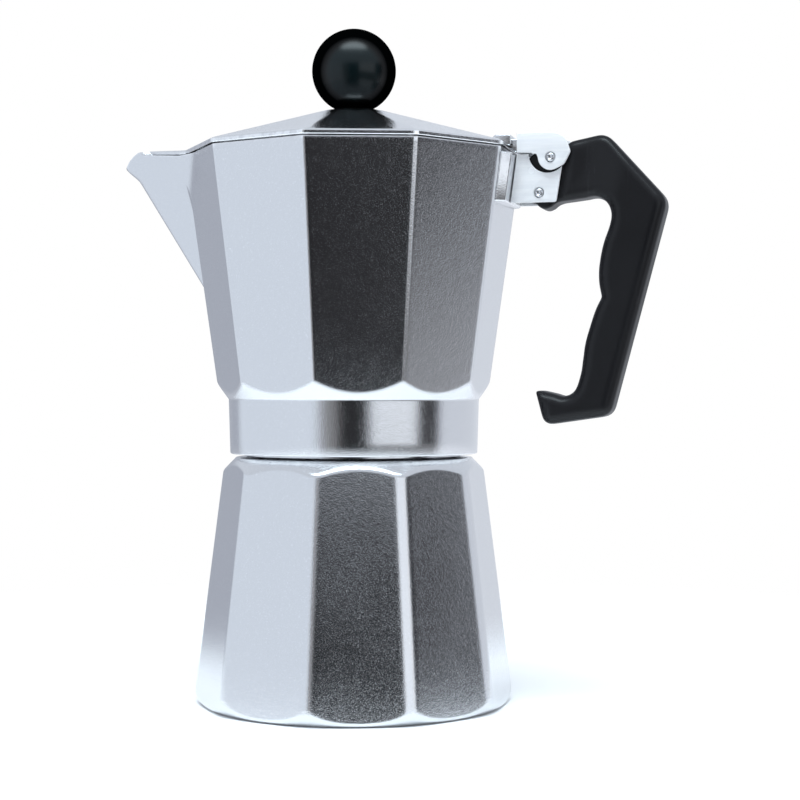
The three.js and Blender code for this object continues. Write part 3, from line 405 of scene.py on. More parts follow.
# an outline in X and Z made as thick as low to high along Y; flat lays it in X and Y instead
def slabMesh(name, outline, holes, low, high, edge, flat=False):
    curve = bpy.data.curves.new(name, "CURVE")
    curve.dimensions = "2D"
    curve.fill_mode = "BOTH"
    curve.extrude = (high - low) / 2 - edge
    curve.bevel_depth = edge
    curve.bevel_resolution = 3
    curve.offset = -edge
    for loop in [outline, *holes]:
        spline = curve.splines.new("POLY")
        spline.points.add(len(loop) - 1)
        for point, (x, z) in zip(spline.points, loop):
            point.co = (x, z, 0, 1)
        spline.use_cyclic_u = True
    mesh = takeMesh(placed(name, curve))
    middle = (low + high) / 2
    if flat:
        mesh.transform(Matrix.Translation((0, 0, middle)))
    else:
        mesh.transform(Matrix.Translation((0, middle, 0)) @ Matrix.Rotation(math.pi / 2, 4, "X"))
    return mesh


def addPiece(name, mesh, material, body, slotName, *nodes):
    piece = placed(name, mesh)
    mesh.materials.clear()
    mesh.materials.append(material)
    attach(piece, body)
    if nodes:
        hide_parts(*nodes)
    return piece


def meshOf(name, parts):  # one mesh out of several
    bm = bmesh.new()
    for part in parts:
        bm.from_mesh(part)
        bpy.data.meshes.remove(part)
    return finishMesh(name, bm)


def softMin(a, b, reach):
    overlap = max(reach - abs(a - b), 0) / reach
    return min(a, b) - overlap * overlap * reach / 4


def softMax(a, b, reach):
    return -softMin(-a, -b, reach)


def smoothStep(low, high, value):
    share = min(1, max(0, (value - low) / (high - low)))
    return share * share * (3 - 2 * share)


def levels(start, end, step):
    count = max(1, round(abs(end - start) / step))
    return [lerp(start, end, i / count) for i in range(count + 1)]


def facetRadius(angle, corner, rounding):  # the ten-sided outline with rounded corners
    half = math.pi / facets
    apothem = corner * math.cos(half)
    delta = abs(angle % (2 * half) - half)
    centre = (apothem - rounding) / math.cos(half)
    reach = half - math.atan((apothem - rounding) * math.tan(half) / apothem)
    if delta < reach:
        return centre * math.cos(delta) + math.sqrt(max(0, rounding ** 2 - (centre * math.sin(delta)) ** 2))
    return apothem / math.cos(half - delta)


thread = {"pitch": 3.2 * mm, "height": 0.9 * mm, "turns": 2, "root": 1.6 * mm, "crest": 0.7 * mm}


def threadShare(angle, z, startZ):  # how much of the thread's height stands at a place
    turnsUp = (z - startZ) / thread["pitch"] - angle / turn
    nearest = round(turnsUp)
    along = nearest + angle / turn
    away = abs(turnsUp - nearest) * thread["pitch"]
    ridge = 1 - smoothStep(thread["crest"] / 2, thread["root"] / 2, away)
    ending = smoothStep(thread["turns"] - 0.08, thread["turns"] + 0.02, along)
    return ridge * smoothStep(-0.02, 0.08, along) * (1 - ending)


def ringPoints(angles, z, radiusAt):
    row = []
    for angle in angles:
        radius = radiusAt(angle)
        row.append((radius * math.cos(angle), radius * math.sin(angle), z))
    return row


print("mesh tools ready")


boiler = {
    "footRadius": 46.4 * mm, "footRise": 5 * mm, "wide": 50.8 * mm, "top": 42.1 * mm, "shoulderZ": 73.5 * mm,
    "shoulderTopZ": 78.1 * mm, "shoulderRadius": 37.6 * mm, "corner": 8 * mm, "blend": 0.7 * mm,
    "neckRoot": 34.3 * mm, "neckBore": 30.6 * mm, "wall": 2.7 * mm, "floor": 3 * mm, "threadStart": 80.1 * mm,
    "neckEdge": 0.6 * mm, "boreEdge": 0.4 * mm, "boreDepth": 1.4 * mm, "fillet": 4 * mm, "floorRing": 20 * mm,
    "steps": 360,
}
boilerRings = ((0, 0.6, 0.12), (0.8, 7, 0.3), (12, 66, 9), (69, 78.1, 0.3))  # from, to and spacing, in mm


def boilerCorner(z):
    share = (z - boiler["footRise"]) / (boiler["shoulderZ"] - boiler["footRise"])
    return lerp(boiler["wide"], boiler["top"], share)


def boilerRound(z):  # the turned foot and shoulder
    share = min(1, z / boiler["footRise"])
    foot = boiler["footRadius"] + (boiler["wide"] - boiler["footRadius"]) * math.sqrt(1 - (1 - share) ** 2)
    foot += max(0, z - boiler["footRise"]) * 0.6
    slope = (boiler["top"] - boiler["shoulderRadius"]) / (boiler["shoulderTopZ"] - boiler["shoulderZ"])
    shoulder = boiler["top"] + (boiler["shoulderZ"] - z) * slope
    return min(foot, shoulder)


def boilerOuter(angle, z):
    faceted = facetRadius(angle, boilerCorner(z), boiler["corner"])
    return softMin(faceted, boilerRound(z), boiler["blend"])


def boilerInner(z):  # a wall's thickness in from the flat sides
    return boilerCorner(z) * math.cos(math.pi / facets) - boiler["wall"]


def makeBoiler():
    angles = [turn * i / boiler["steps"] for i in range(boiler["steps"])]
    rows = []
    for start, end, step in boilerRings:
        for z in levels(start * mm, end * mm, step * mm):
            rows.append(ringPoints(angles, z, lambda a: boilerOuter(a, z)))
    root, bore, topZ = boiler["neckRoot"], boiler["neckBore"], boiler["shoulderTopZ"]
    rows.append(ringPoints(angles, topZ + 0.1 * mm, lambda a: root + 0.3 * mm))
    for z in levels(topZ + 0.5 * mm, neckTopZ - boiler["neckEdge"], 0.2 * mm):
        rows.append(ringPoints(
            angles, z, lambda a: root + thread["height"] * threadShare(a, z, boiler["threadStart"])))
    inside = [
        (root - boiler["neckEdge"], neckTopZ), (bore + boiler["boreEdge"], neckTopZ),
        (bore, neckTopZ - boiler["boreEdge"]), (bore, topZ - boiler["boreDepth"]),
    ]
    fillet = boiler["fillet"]
    filletZ = boiler["floor"] + fillet
    ceilingZ = boiler["shoulderZ"] - boiler["wall"]
    inside += [(boilerInner(z), z) for z in levels(ceilingZ, filletZ + 1 * mm, 20 * mm)]
    for i in range(1, 7):
        lean = math.pi / 2 * i / 6
        radius = boilerInner(filletZ) - fillet * (1 - math.cos(lean))
        inside.append((radius, filletZ - fillet * math.sin(lean)))
    inside.append((boiler["floorRing"], boiler["floor"]))
    for radius, z in inside:
        rows.append(ringPoints(angles, z, lambda a: radius))
    return ringMesh("boilerShell", rows, 50)


addPiece("boilerShell", makeBoiler(), castAluminium, "boiler", "cast_aluminium", "boiler_body")
print("boiler made")


collector = {
    "bandBottomZ": collectorBox[0].z, "bandTopZ": 96.5 * mm, "band": 39.4 * mm, "bandFlare": 0.5 * mm,
    "foot": 43.6 * mm, "footZ": 101.6 * mm, "rim": 53.8 * mm, "corner": 0.8 * mm, "blend": 0.6 * mm,
    "wall": 2.73 * mm, "floorZ": 102.1 * mm, "seatTopZ": 94.5 * mm, "seatBottomZ": 89.3 * mm,
    "seatRadius": 32.7 * mm, "coneRadius": 27 * mm, "coneTopZ": 99.3 * mm, "spigot": 6.9 * mm,
    "threadRoot": 36.5 * mm, "threadStart": 81.7 * mm, "edge": 0.35 * mm, "fillet": 2.5 * mm,
    "insideCorner": 3 * mm, "shapedDepth": 14 * mm,
}
spout = {
    "keelOut": 44.3 * mm, "keelDrop": 51.4 * mm, "keelSlope": 1.566, "sideSlope": 0.48, "flatOut": 52.3 * mm,
    "topSlope": 0.124, "lipOut": 69.7 * mm, "wall": 2.95 * mm, "keelRounding": 0.015, "fillet": 1.6 * mm,
    "flare": 2.05 * mm, "flareSpread": 0.05, "flareLow": 6.2 * mm, "flareHigh": 1.4 * mm, "reach": 1.1,
}
spoutLip = ((0.7, 3.2), (2.2, 3.1), (4.4, 2.3), (6.6, 0.9), (8.7, -1.1))  # mm past lipOut and over the rim


def spoutTop(out):  # height of the spout's top edge, out from the pot's axis
    slope = rimZ + spout["topSlope"] * max(0, min(out, spout["lipOut"]) - spout["flatOut"])
    lip = [(0.0, slope)] + [(past * mm, rimZ + over * mm) for past, over in spoutLip]
    past = out - spout["lipOut"]
    if past <= 0:
        return slope
    for (a, low), (b, high) in zip(lip, lip[1:]):
        if past <= b:
            return lerp(low, high, (past - a) / (b - a))
    return lip[-1][1]


def spoutRadius(angle, z, inset):  # the V-shaped spout as a distance from the pot's axis
    away = abs(math.pi - angle % turn)
    if away > spout["reach"]:
        return 0
    rounding = spout["keelRounding"]
    side = math.sqrt(math.sin(away) ** 2 + rounding ** 2) - rounding
    rise = spout["sideSlope"] * (z - (rimZ - spout["keelDrop"]) + spout["keelSlope"] * spout["keelOut"])
    radius = (rise - inset) / (side + spout["sideSlope"] * spout["keelSlope"] * math.cos(away))
    lip = smoothStep(rimZ - spout["flareLow"], rimZ - spout["flareHigh"], z)
    return radius + spout["flare"] * lip * math.exp(-((away / spout["flareSpread"]) ** 2))


def collectorCorner(z):
    return lerp(collector["foot"], collector["rim"], (z - collector["footZ"]) / (rimZ - collector["footZ"]))


def collectorOuter(angle, z):
    band, flare, bandTopZ = collector["band"], collector["bandFlare"], collector["bandTopZ"]
    if z <= bandTopZ:
        return band + flare * (z - collector["bandBottomZ"]) / (bandTopZ - collector["bandBottomZ"])
    slope = (collector["foot"] - band - flare) / (collector["footZ"] - bandTopZ)
    cone = band + flare + (z - bandTopZ) * slope
    body = softMin(facetRadius(angle, collectorCorner(z), collector["corner"]), cone, collector["blend"])
    return softMax(body, spoutRadius(angle, z, 0), spout["fillet"])


def collectorInner(angle, z):
    body = facetRadius(angle, collectorCorner(z) - collector["wall"], collector["insideCorner"])
    return softMax(body, spoutRadius(angle, z, spout["wall"]), spout["fillet"])


def rimHeight(angle):  # found in a few steps, as the spout's radius and its top edge depend on each other
    z = rimZ
    for step in range(12):
        radius = collectorOuter(angle, z)
        z = lerp(z, spoutTop(radius * abs(math.cos(angle))), 0.7)
    return z if abs(math.pi - angle) < 0.45 else rimZ


def collectorAngles():  # finer round the spout's edge
    angles = [math.radians(degree) for degree in range(0, 152)]
    angles += [math.radians(152 + 0.4 * i) for i in range(140)]
    return angles + [math.radians(degree) for degree in range(208, 360)]


def makeCollector():
    angles = collectorAngles()
    rims = {angle: rimHeight(angle) for angle in angles}
    rows = []
    bottomZ, bandTopZ, floorZ = collector["bandBottomZ"], collector["bandTopZ"], collector["floorZ"]
    edge, fillet, threadRoot = collector["edge"], collector["fillet"], collector["threadRoot"]

    def upTo(angle, z):  # a height that eases from level rings to the shaped rim
        start = rimZ - collector["shapedDepth"]
        if z <= start:
            return z
        return start + (z - start) * (rims[angle] - start) / (rimZ - start)

    def shaped(z, radiusAt):
        row = []
        for angle in angles:
            height = upTo(angle, z)
            radius = radiusAt(angle, height)
            row.append((radius * math.cos(angle), radius * math.sin(angle), height))
        rows.append(row)

    shaped(bottomZ, lambda a, z: collector["band"] - edge)
    shaped(bottomZ + 0.12 * mm, lambda a, z: collector["band"] - 0.1 * mm)
    outside = levels(bottomZ + 0.4 * mm, bandTopZ - 0.5 * mm, 4 * mm) + levels(bandTopZ, 105 * mm, 0.28 * mm)
    outside += levels(108 * mm, 119 * mm, 4 * mm) + levels(120 * mm, rimZ - 0.5 * mm, 1.1 * mm)
    for z in outside:
        shaped(z, collectorOuter)
    shaped(rimZ - 0.1 * mm, lambda a, z: collectorOuter(a, z) - 0.12 * mm)
    shaped(rimZ, lambda a, z: collectorOuter(a, z) - edge)
    shaped(rimZ, lambda a, z: collectorInner(a, z) + edge)
    shaped(rimZ - 0.3 * mm, collectorInner)
    for z in levels(rimZ - 1.2 * mm, 122 * mm, 1.3 * mm) + levels(116 * mm, 106 * mm, 5 * mm):
        shaped(z, collectorInner)
    floorCorner = collectorCorner(floorZ) - collector["wall"]
    for i in range(5):
        lean = math.pi / 2 * i / 4
        corner = floorCorner - fillet * (1 - math.cos(lean))
        shaped(floorZ + fillet * (1 - math.sin(lean)),
               lambda a, z: facetRadius(a, corner, collector["insideCorner"]))
    spigot, seatRadius = collector["spigot"], collector["seatRadius"]
    seatTopZ, seatBottomZ = collector["seatTopZ"], collector["seatBottomZ"]
    under = [
        (spigot + 0.3 * mm, floorZ), (spigot, floorZ - 0.3 * mm), (spigot, collector["coneTopZ"]),
        (collector["coneRadius"], seatTopZ), (seatRadius, seatTopZ), (seatRadius, seatBottomZ),
        (threadRoot, seatBottomZ),
    ]
    for radius, height in under:
        shaped(height, lambda a, z: radius)
    for z in levels(seatBottomZ - 0.3 * mm, bottomZ + 0.5 * mm, 0.2 * mm):
        shaped(z, lambda a, h: threadRoot - thread["height"] * threadShare(a, h, collector["threadStart"]))
    shaped(bottomZ, lambda a, z: threadRoot + 0.4 * mm)
    return ringMesh("collectorShell", rows, 50, closed=True)


addPiece("collectorShell", makeCollector(), castAluminium, "collector", "cast_aluminium", "collector_body")
print("collector made")


def facetFace(z):  # distance to the flat side that carries the handle
    return collectorCorner(z) * math.cos(math.pi / facets)


pad = {"half": 14 * mm, "faceHalf": 12 * mm, "height": 2.8 * mm, "sink": 1.2 * mm, "edge": 0.45 * mm}


bevelAbove = 0.3  # radians between two faces that meet at an edge worth rounding


def loftMesh(name, sections, edge):  # joins sections into a body with rounded edges
    bm = bmesh.new()
    made = [[bm.verts.new(point) for point in section] for section in sections]
    count = len(sections[0])
    for low, high in zip(made, made[1:]):
        for i in range(count):
            bm.faces.new((low[i], low[(i + 1) % count], high[(i + 1) % count], high[i]))
    bm.faces.new(made[0])
    bm.faces.new(made[-1])
    bmesh.ops.recalc_face_normals(bm, faces=bm.faces)
    edges = [e for e in bm.edges if len(e.link_faces) == 2 and e.calc_face_angle(0) > bevelAbove]
    bmesh.ops.bevel(bm, geom=edges, offset=edge, segments=3, affect="EDGES", profile=0.5)
    return finishMesh(name, bm, 40)


def makePad():
    half, faceHalf = pad["half"], pad["faceHalf"]
    sections = []
    for z in (bracketBox[0].z, bracketBox[1].z):
        face = facetFace(z)
        back, front = face - pad["sink"], face + pad["height"]
        sections.append([(back, -half, z), (face, -half, z), (front, -faceHalf, z),
                         (front, faceHalf, z), (face, half, z), (back, half, z)])
    return loftMesh("handlePad", sections, pad["edge"])


addPiece("handlePad", makePad(), castAluminium, "collector", "cast_aluminium")
print("handle pad made")


lid = {
    "skirt": 54.4 * mm, "skirtBottomZ": rimZ + 0.3 * mm, "skirtTopZ": rimZ + 1.7 * mm,
    "topZ": rimZ + 14.5 * mm, "plateau": 10 * mm, "thickness": 1.8 * mm, "lip": 50.37 * mm,
    "lipWall": 1.6 * mm, "lipDepth": 2.3 * mm, "corner": 2.4 * mm, "edge": 0.35 * mm, "lowEdge": 0.2 * mm,
    "middle": 2 * mm, "steps": 360,
}


def makeLid():
    angles = [turn * i / lid["steps"] for i in range(lid["steps"])]
    skirt, plateau, middle, topZ = lid["skirt"], lid["plateau"], lid["middle"], lid["topZ"]
    skirtTopZ, skirtBottomZ, lipZ = lid["skirtTopZ"], lid["skirtBottomZ"], rimZ - lid["lipDepth"]
    lip, lipInner = lid["lip"], lid["lip"] - lid["lipWall"]
    edge, lowEdge = lid["edge"], lid["lowEdge"]

    def topAt(radius):
        return topZ - (topZ - skirtTopZ) / (skirt - plateau) * (radius - plateau)

    slopeRadii = [plateau + 0.8 * mm, *levels(14 * mm, 50 * mm, 6 * mm), skirt - 1.2 * mm]
    underRadii = [lipInner, *levels(44 * mm, 12 * mm, 8 * mm), plateau]
    profile = [(middle, topZ), (plateau - 1.2 * mm, topZ), (plateau - 0.3 * mm, topZ - 0.06 * mm)]
    profile += [(radius, topAt(radius)) for radius in slopeRadii]
    profile += [
        (skirt - edge, skirtTopZ + 0.02 * mm), (skirt, skirtTopZ - edge), (skirt, skirtBottomZ + lowEdge),
        (skirt - lowEdge, skirtBottomZ), (lip, skirtBottomZ), (lip, lipZ + lowEdge), (lip - lowEdge, lipZ),
        (lipInner + lowEdge, lipZ), (lipInner, lipZ + lowEdge),
    ]
    profile += [(radius, topAt(radius) - lid["thickness"]) for radius in underRadii]
    profile.append((middle, topZ - lid["thickness"]))
    rows = []
    for radius, z in profile:
        rounding = min(lid["corner"], radius * 0.3)
        rows.append(ringPoints(angles, z, lambda a: facetRadius(a, radius, rounding)))
    return ringMesh("lidShell", rows, 30)


beak = {"thickness": 1.3 * mm, "gap": 0.3 * mm, "edge": 0.35 * mm}
beakStations = (  # out from the axis, half width and height of the middle ridge, in mm
    (46, 20, 3.2), (52.3, 19, 2.5), (62, 11.2, 1.1), (66.8, 7, 0.35), (68.8, 5, 0.1),
)


def makeBeak():
    sections = []
    for station in beakStations:
        out, half, ridge = (value * mm for value in station)
        low = spoutTop(out) + beak["gap"]
        high = low + beak["thickness"]
        sections.append([(-out, -half, low), (-out, half, low), (-out, half, high), (-out, 0, high + ridge),
                         (-out, -half, high)])
    return loftMesh("lidBeak", sections, beak["edge"])


lug = {"half": 6 * mm, "end": 58.5 * mm, "edge": 0.45 * mm, "bossHalf": 8 * mm, "bossEnd": 52.6 * mm}


def makeLug():
    low, high = plateBox
    topZ = high.z - 1.5 * mm
    bottomZ = bracketBox[1].z + 0.6 * mm
    tongue = [
        (47 * mm, rimZ + 1 * mm), (49 * mm, rimZ + 0.6 * mm), (51.6 * mm, rimZ + 0.45 * mm),
        (low.x - 0.8 * mm, bottomZ), (lug["end"], bottomZ), (lug["end"], topZ), (50 * mm, topZ),
    ]
    bossZ = lid["skirtTopZ"] - 0.5 * mm
    boss = [(44.4 * mm, bossZ), (lug["bossEnd"], bossZ), (lug["bossEnd"], high.z - 0.25 * mm),
            (47.5 * mm, high.z - 0.2 * mm)]
    parts = [
        slabMesh("lidLug", softened(tongue, 0.8 * mm), [], -lug["half"], lug["half"], lug["edge"]),
        slabMesh("lidBoss", softened(boss, 0.9 * mm), [], -lug["bossHalf"], lug["bossHalf"], lug["edge"]),
    ]
    return meshOf("lidLug", parts)


addPiece("lidShell", makeLid(), castAluminium, "lid", "cast_aluminium", "lid_shell")
addPiece("lidBeak", makeBeak(), castAluminium, "lid", "cast_aluminium")
addPiece("lidLug", makeLug(), castAluminium, "lid", "cast_aluminium")
print("lid made")


knob = {"radius": 13.4 * mm, "sink": 0.3 * mm, "neck": 5.7 * mm, "foot": 7.3 * mm, "footInset": 0.3 * mm,
        "footEdge": 0.25 * mm, "steps": 96}


def makeKnob():
    radius, neck, foot = knob["radius"], knob["neck"], knob["foot"]
    baseZ = knobBox[0].z
    edgeZ = baseZ + knob["footEdge"]
    centreZ = knobBox[1].z - knob["sink"] - radius
    startAngle = -math.acos(neck / radius) + 0.05
    meetZ = centreZ + radius * math.sin(startAngle)
    profile = [(0, baseZ), (foot - knob["footInset"], baseZ), (foot, edgeZ)]
    for i in range(1, 8):
        share = i / 7
        waist = neck + (foot - neck) * (1 - math.sin(share * math.pi / 2))
        profile.append((waist, lerp(edgeZ, meetZ, share)))
    profile += arcLoop(0, centreZ, radius, startAngle, math.pi / 2, 48)[1:]
    return turnedMesh("knobBall", profile, knob["steps"], 45)


addPiece("knobBall", makeKnob(), knobPlastic, "lid", "knob_plastic", "lid_knob")
print("knob made")


sheetMetal = {
    "thick": 1.2 * mm, "edge": 0.22 * mm, "hole": 1.6 * mm, "webInset": 0.2 * mm, "webEdge": 0.15 * mm,
    "plateOuter": 7.5 * mm, "plateEye": 3.9 * mm, "plateWeb": 4 * mm, "bracketOuter": 6 * mm,
    "bracketTopOut": 68 * mm, "bracketBottomOut": 66.3 * mm, "notch": 6 * mm, "notchBack": 1.1 * mm,
    "rivet": 1.4 * mm,
}


def foldedSheet(name, outline, hole, web, outer):  # two cheeks and the web between them
    inner = outer - sheetMetal["thick"]
    reach = outer - sheetMetal["webInset"]
    parts = [slabMesh("cheek", outline, [hole], start, end, sheetMetal["edge"])
             for start, end in ((-outer, -inner), (inner, outer))]
    parts.append(slabMesh("web", web, [], -reach, reach, sheetMetal["webEdge"]))
    return meshOf(name, parts)


def makeHingePlate():
    low, high = plateBox
    x, z = hinge.x, hinge.z
    eye = sheetMetal["plateEye"]
    lowerZ = bracketBox[1].z + 0.3 * mm
    outline = softened([(low.x, lowerZ), (x - eye - 2.2 * mm, lowerZ - 0.2 * mm)], 0.1 * mm, closed=False)
    outline += [(x - eye - 0.5 * mm, lowerZ - 0.6 * mm), (x - eye - 0.05 * mm, z)]
    outline += arcLoop(x, z, eye, math.pi * 1.05, math.pi * 1.65, 14)
    front = [(x + 1.8 * mm, z - 3.5 * mm), (x + 4.2 * mm, z - 2.2 * mm), (x + 6.2 * mm, z + 1.6 * mm),
             (x + 5.1 * mm, high.z - 2.9 * mm), (x + 3.6 * mm, high.z - 0.8 * mm), (x + 0.6 * mm, high.z)]
    outline += softened(front, 0.7 * mm, closed=False)[1:]
    outline += [(low.x, high.z)]
    webEnd, webZ = low.x + sheetMetal["plateWeb"], high.z - sheetMetal["thick"]
    web = softened([(low.x, webZ), (webEnd, webZ), (webEnd, high.z), (low.x, high.z)], 0.2 * mm)
    hole = circleLoop(x, z, sheetMetal["hole"])
    return foldedSheet("hingePlate", outline, hole, web, sheetMetal["plateOuter"])


def makeBracket():
    low, high = bracketBox
    lowBack, highBack = (facetFace(z) + pad["height"] + 0.3 * mm for z in (low.z, high.z))
    notch, notchX = sheetMetal["notch"], hinge.x - sheetMetal["notchBack"]
    topOut, bottomOut = sheetMetal["bracketTopOut"], sheetMetal["bracketBottomOut"]
    end = math.acos((topOut - notchX) / notch)
    outline = [(lowBack, low.z)]
    outline += softened([(lowBack, low.z), (bottomOut, low.z), (topOut, high.z - notch * math.sin(end))],
                        0.8 * mm, closed=False)[1:]
    outline += arcLoop(notchX, high.z, notch, -end, -math.pi, 22)[1:]
    outline += [(highBack, high.z)]
    thick = sheetMetal["thick"]
    web = [(lowBack, low.z), (lowBack + thick, low.z), (highBack + thick, high.z), (highBack, high.z)]
    rivet = sheetMetal["rivet"]
    hole = circleLoop(rivetBox[0].x + rivet, rivetBox[0].z + rivet, sheetMetal["hole"])
    return foldedSheet("handleBracket", outline, hole, web, sheetMetal["bracketOuter"])


pinEnd = ((0, 0.25), (0.45, 0.2), (0.62, 0), (0.85, 0.08), (1, 0.45))  # share of the radius, mm from the end


def makeCrossPin(name, box):  # a pin along Y with swaged, dished ends
    low, high = box
    centre = (low + high) / 2
    radius = (high.z - low.z) / 2
    half = (high.y - low.y) / 2
    profile = [(radius * share, -half + depth * mm) for share, depth in pinEnd]
    profile += [(r, -z) for r, z in reversed(profile)]
    mesh = turnedMesh(name, profile, 40, 50)
    mesh.transform(Matrix.Translation(centre) @ Matrix.Rotation(math.pi / 2, 4, "X"))
    return mesh


addPiece("hingePlate", makeHingePlate(), brightSheet, "lid", "bright_sheet_steel", "lid_hinge_plate")
addPiece("handleBracket", makeBracket(), brightSheet, "collector", "bright_sheet_steel", "handle_bracket")
addPiece("hingePin", makeCrossPin("hingePin", pinBox), pinSteel, "collector", "pin_steel", "hinge_pin")
addPiece("handleRivet", makeCrossPin("handleRivet", rivetBox), pinSteel, "collector", "pin_steel",
         "handle_rivet")
print("hinge and bracket made")


handle = {"edge": 2.9 * mm, "neckHalf": 5.9 * mm, "gripHalf": 7.6 * mm, "voxel": 0.5 * mm, "smooth": 5,
          "tongueHalf": 4.5 * mm, "tongueEdge": 0.3 * mm, "flareStart": 10 * mm, "flareEnd": 24 * mm}


def splineLoop(points, steps=6):  # a smooth open curve through the points
    made = []
    for i in range(len(points) - 1):
        p0 = Vector(points[max(i - 1, 0)])
        p1, p2 = Vector(points[i]), Vector(points[i + 1])
        p3 = Vector(points[min(i + 2, len(points) - 1)])
        for k in range(steps):
            t = k / steps
            spot = 0.5 * (2 * p1 + (p2 - p0) * t + (2 * p0 - 5 * p1 + 4 * p2 - p3) * t ** 2
                          + (3 * p1 - p0 - 3 * p2 + p3) * t ** 3)
            made.append((spot.x, spot.y))
    made.append(tuple(points[-1]))
    return made


def gripOutline():  # in mm, out from the pot's axis and up from its rim
    straight = softened([(66.6, -16.3), (68.3, -5.6), (68.7, 2), (81.6, 4.4), (100.35, -16.4),
                         (82.9, -82.2), (62.4, -85.2), (59.6, -74.6)], 3, 5, closed=False)
    hookTop = [(61.4, -74.4), (65.4, -75.3), (68.8, -76.1), (71.9, -74.4), (73.7, -69.4), (74.4, -64.9),
               (75.1, -60), (76.5, -55), (78.3, -49.6), (80.2, -45.8)]
    fingers = [(80.2, -45.8), (79.4, -41.8), (79.3, -37.4), (80, -32.4), (81, -28.4), (82.6, -23.9),
               (83.1, -20.2), (81.8, -16.9), (78.6, -14.9), (74.9, -15.3)]
    points = straight + splineLoop(hookTop) + splineLoop(fingers)[1:]
    return [(x * mm, rimZ + drop * mm) for x, drop in points]


def tongueOutline():
    left = facetFace(bracketBox[1].z) + pad["height"] + 3.6 * mm
    under = [(59.4, -16.3), (61, -17.9), (62.7, -18.5), (64.4, -17.9), (66, -16.6), (74, -14), (74, 0),
             (69, 0.5)]
    points = [(left, rimZ - 15.8 * mm)] + [(x * mm, rimZ + drop * mm) for x, drop in under]
    points += arcLoop(hinge.x, hinge.z, 5.4 * mm, math.pi * 0.25, math.pi * 0.85, 12)
    return points + [(left, rimZ - 2.6 * mm)]


def makeHandle():
    grip = slabMesh("grip", gripOutline(), [], -handle["neckHalf"], handle["neckHalf"], handle["edge"])
    tongue = slabMesh("tongue", tongueOutline(), [], -handle["tongueHalf"], handle["tongueHalf"],
                      handle["tongueEdge"])
    joined = meshOf("handle", [grip, tongue])
    holder = placed("handle", joined)
    remesh = holder.modifiers.new("remesh", "REMESH")
    remesh.mode = "VOXEL"
    remesh.voxel_size = handle["voxel"]
    smooth = holder.modifiers.new("smooth", "SMOOTH")
    smooth.iterations = handle["smooth"]
    smooth.factor = 0.5
    mesh = takeMesh(holder)
    for vertex in mesh.vertices:
        away = math.hypot(vertex.co.x - hinge.x, vertex.co.z - hinge.z)
        share = smoothStep(handle["flareStart"], handle["flareEnd"], away)
        vertex.co.y *= lerp(1, handle["gripHalf"] / handle["neckHalf"], share)
    mesh.polygons.foreach_set("use_smooth", [True] * len(mesh.polygons))
    return mesh


gripPiece = addPiece("handleGrip", makeHandle(), handlePlastic, "collector", "handle_plastic", "handle_grip")
gripPiece.visible_glossy = False
print("handle made")


funnel = {"wall": 0.9 * mm, "stem": 4.9 * mm, "lip": 0.35 * mm, "cone": 4.5 * mm, "floorDrop": 27 * mm,
          "flange": 1 * mm, "flangeReach": 2.6 * mm, "steps": 96}


def makeFunnel():  # a spun basket with a rolled flange, a cone and a stem
    low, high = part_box("funnel_basket")
    flange = high.x
    basket = flange - funnel["flangeReach"]
    inside = basket - funnel["wall"]
    floorZ = high.z - funnel["floorDrop"]
    coneZ = floorZ - funnel["cone"]
    stem, bore, lip = funnel["stem"], funnel["stem"] - funnel["wall"], funnel["lip"]
    underZ = high.z - funnel["flange"]
    outline = [
        (flange - lip, underZ), (flange, underZ + lip), (flange, high.z - lip), (flange - lip, high.z),
        (inside + 0.8 * mm, high.z), (inside + 0.2 * mm, high.z - 0.25 * mm), (inside, high.z - 0.9 * mm),
        (inside, floorZ + 1.6 * mm), (inside - 0.5 * mm, floorZ + 1.1 * mm),
        (inside - 1.2 * mm, floorZ + 0.8 * mm),
        (bore + 1 * mm, coneZ + 1.1 * mm), (bore + 0.2 * mm, coneZ + 0.5 * mm), (bore, coneZ - 0.5 * mm),
        (bore, low.z), (stem, low.z), (stem, coneZ - 0.6 * mm), (stem + 0.8 * mm, coneZ + 0.1 * mm),
        (basket - 1 * mm, floorZ - 0.15 * mm), (basket - 0.2 * mm, floorZ + 0.25 * mm),
        (basket, floorZ + 1 * mm), (basket, underZ),
    ]
    return turnedMesh("funnelSpun", outline, funnel["steps"], 40, closed=True)


gasket = {"inner": 26.8 * mm, "soft": 0.5 * mm, "corner": 0.15 * mm, "steps": 96}


def makeGasket():
    low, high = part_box("gasket")
    outer, inner, soft, corner = high.x, gasket["inner"], gasket["soft"], gasket["corner"]
    outline = [
        (inner + soft, low.z), (outer - soft, low.z), (outer - corner, low.z + corner), (outer, low.z + soft),
        (outer, high.z - soft), (outer - corner, high.z - corner), (outer - soft, high.z),
        (inner + soft, high.z), (inner + corner, high.z - corner), (inner, high.z - soft),
        (inner, low.z + soft), (inner + corner, low.z + corner),
    ]
    return turnedMesh("gasketRing", outline, gasket["steps"], 60, closed=True)


plate = {"pitch": 8.2 * mm, "slack": 0.02 * mm, "edge": 0.12 * mm, "steps": 96, "holeSteps": 14}


def makePerforated(name, node, holeRadius):  # a round plate with holes on a triangular grid
    low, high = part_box(node)
    radius, pitch = high.x - plate["slack"], plate["pitch"]
    reach = int(radius / pitch) + 1
    holes = []
    for row in range(-reach, reach + 1):
        for column in range(-reach, reach + 1):
            x = pitch * (column + (row % 2) / 2)
            y = pitch * row * math.sqrt(3) / 2
            if math.hypot(x, y) <= radius - 3 * holeRadius:
                holes.append(circleLoop(x, y, holeRadius, plate["holeSteps"]))
    rim = circleLoop(0, 0, radius, plate["steps"])
    return slabMesh(name, rim, holes, low.z, high.z, plate["edge"], flat=True)


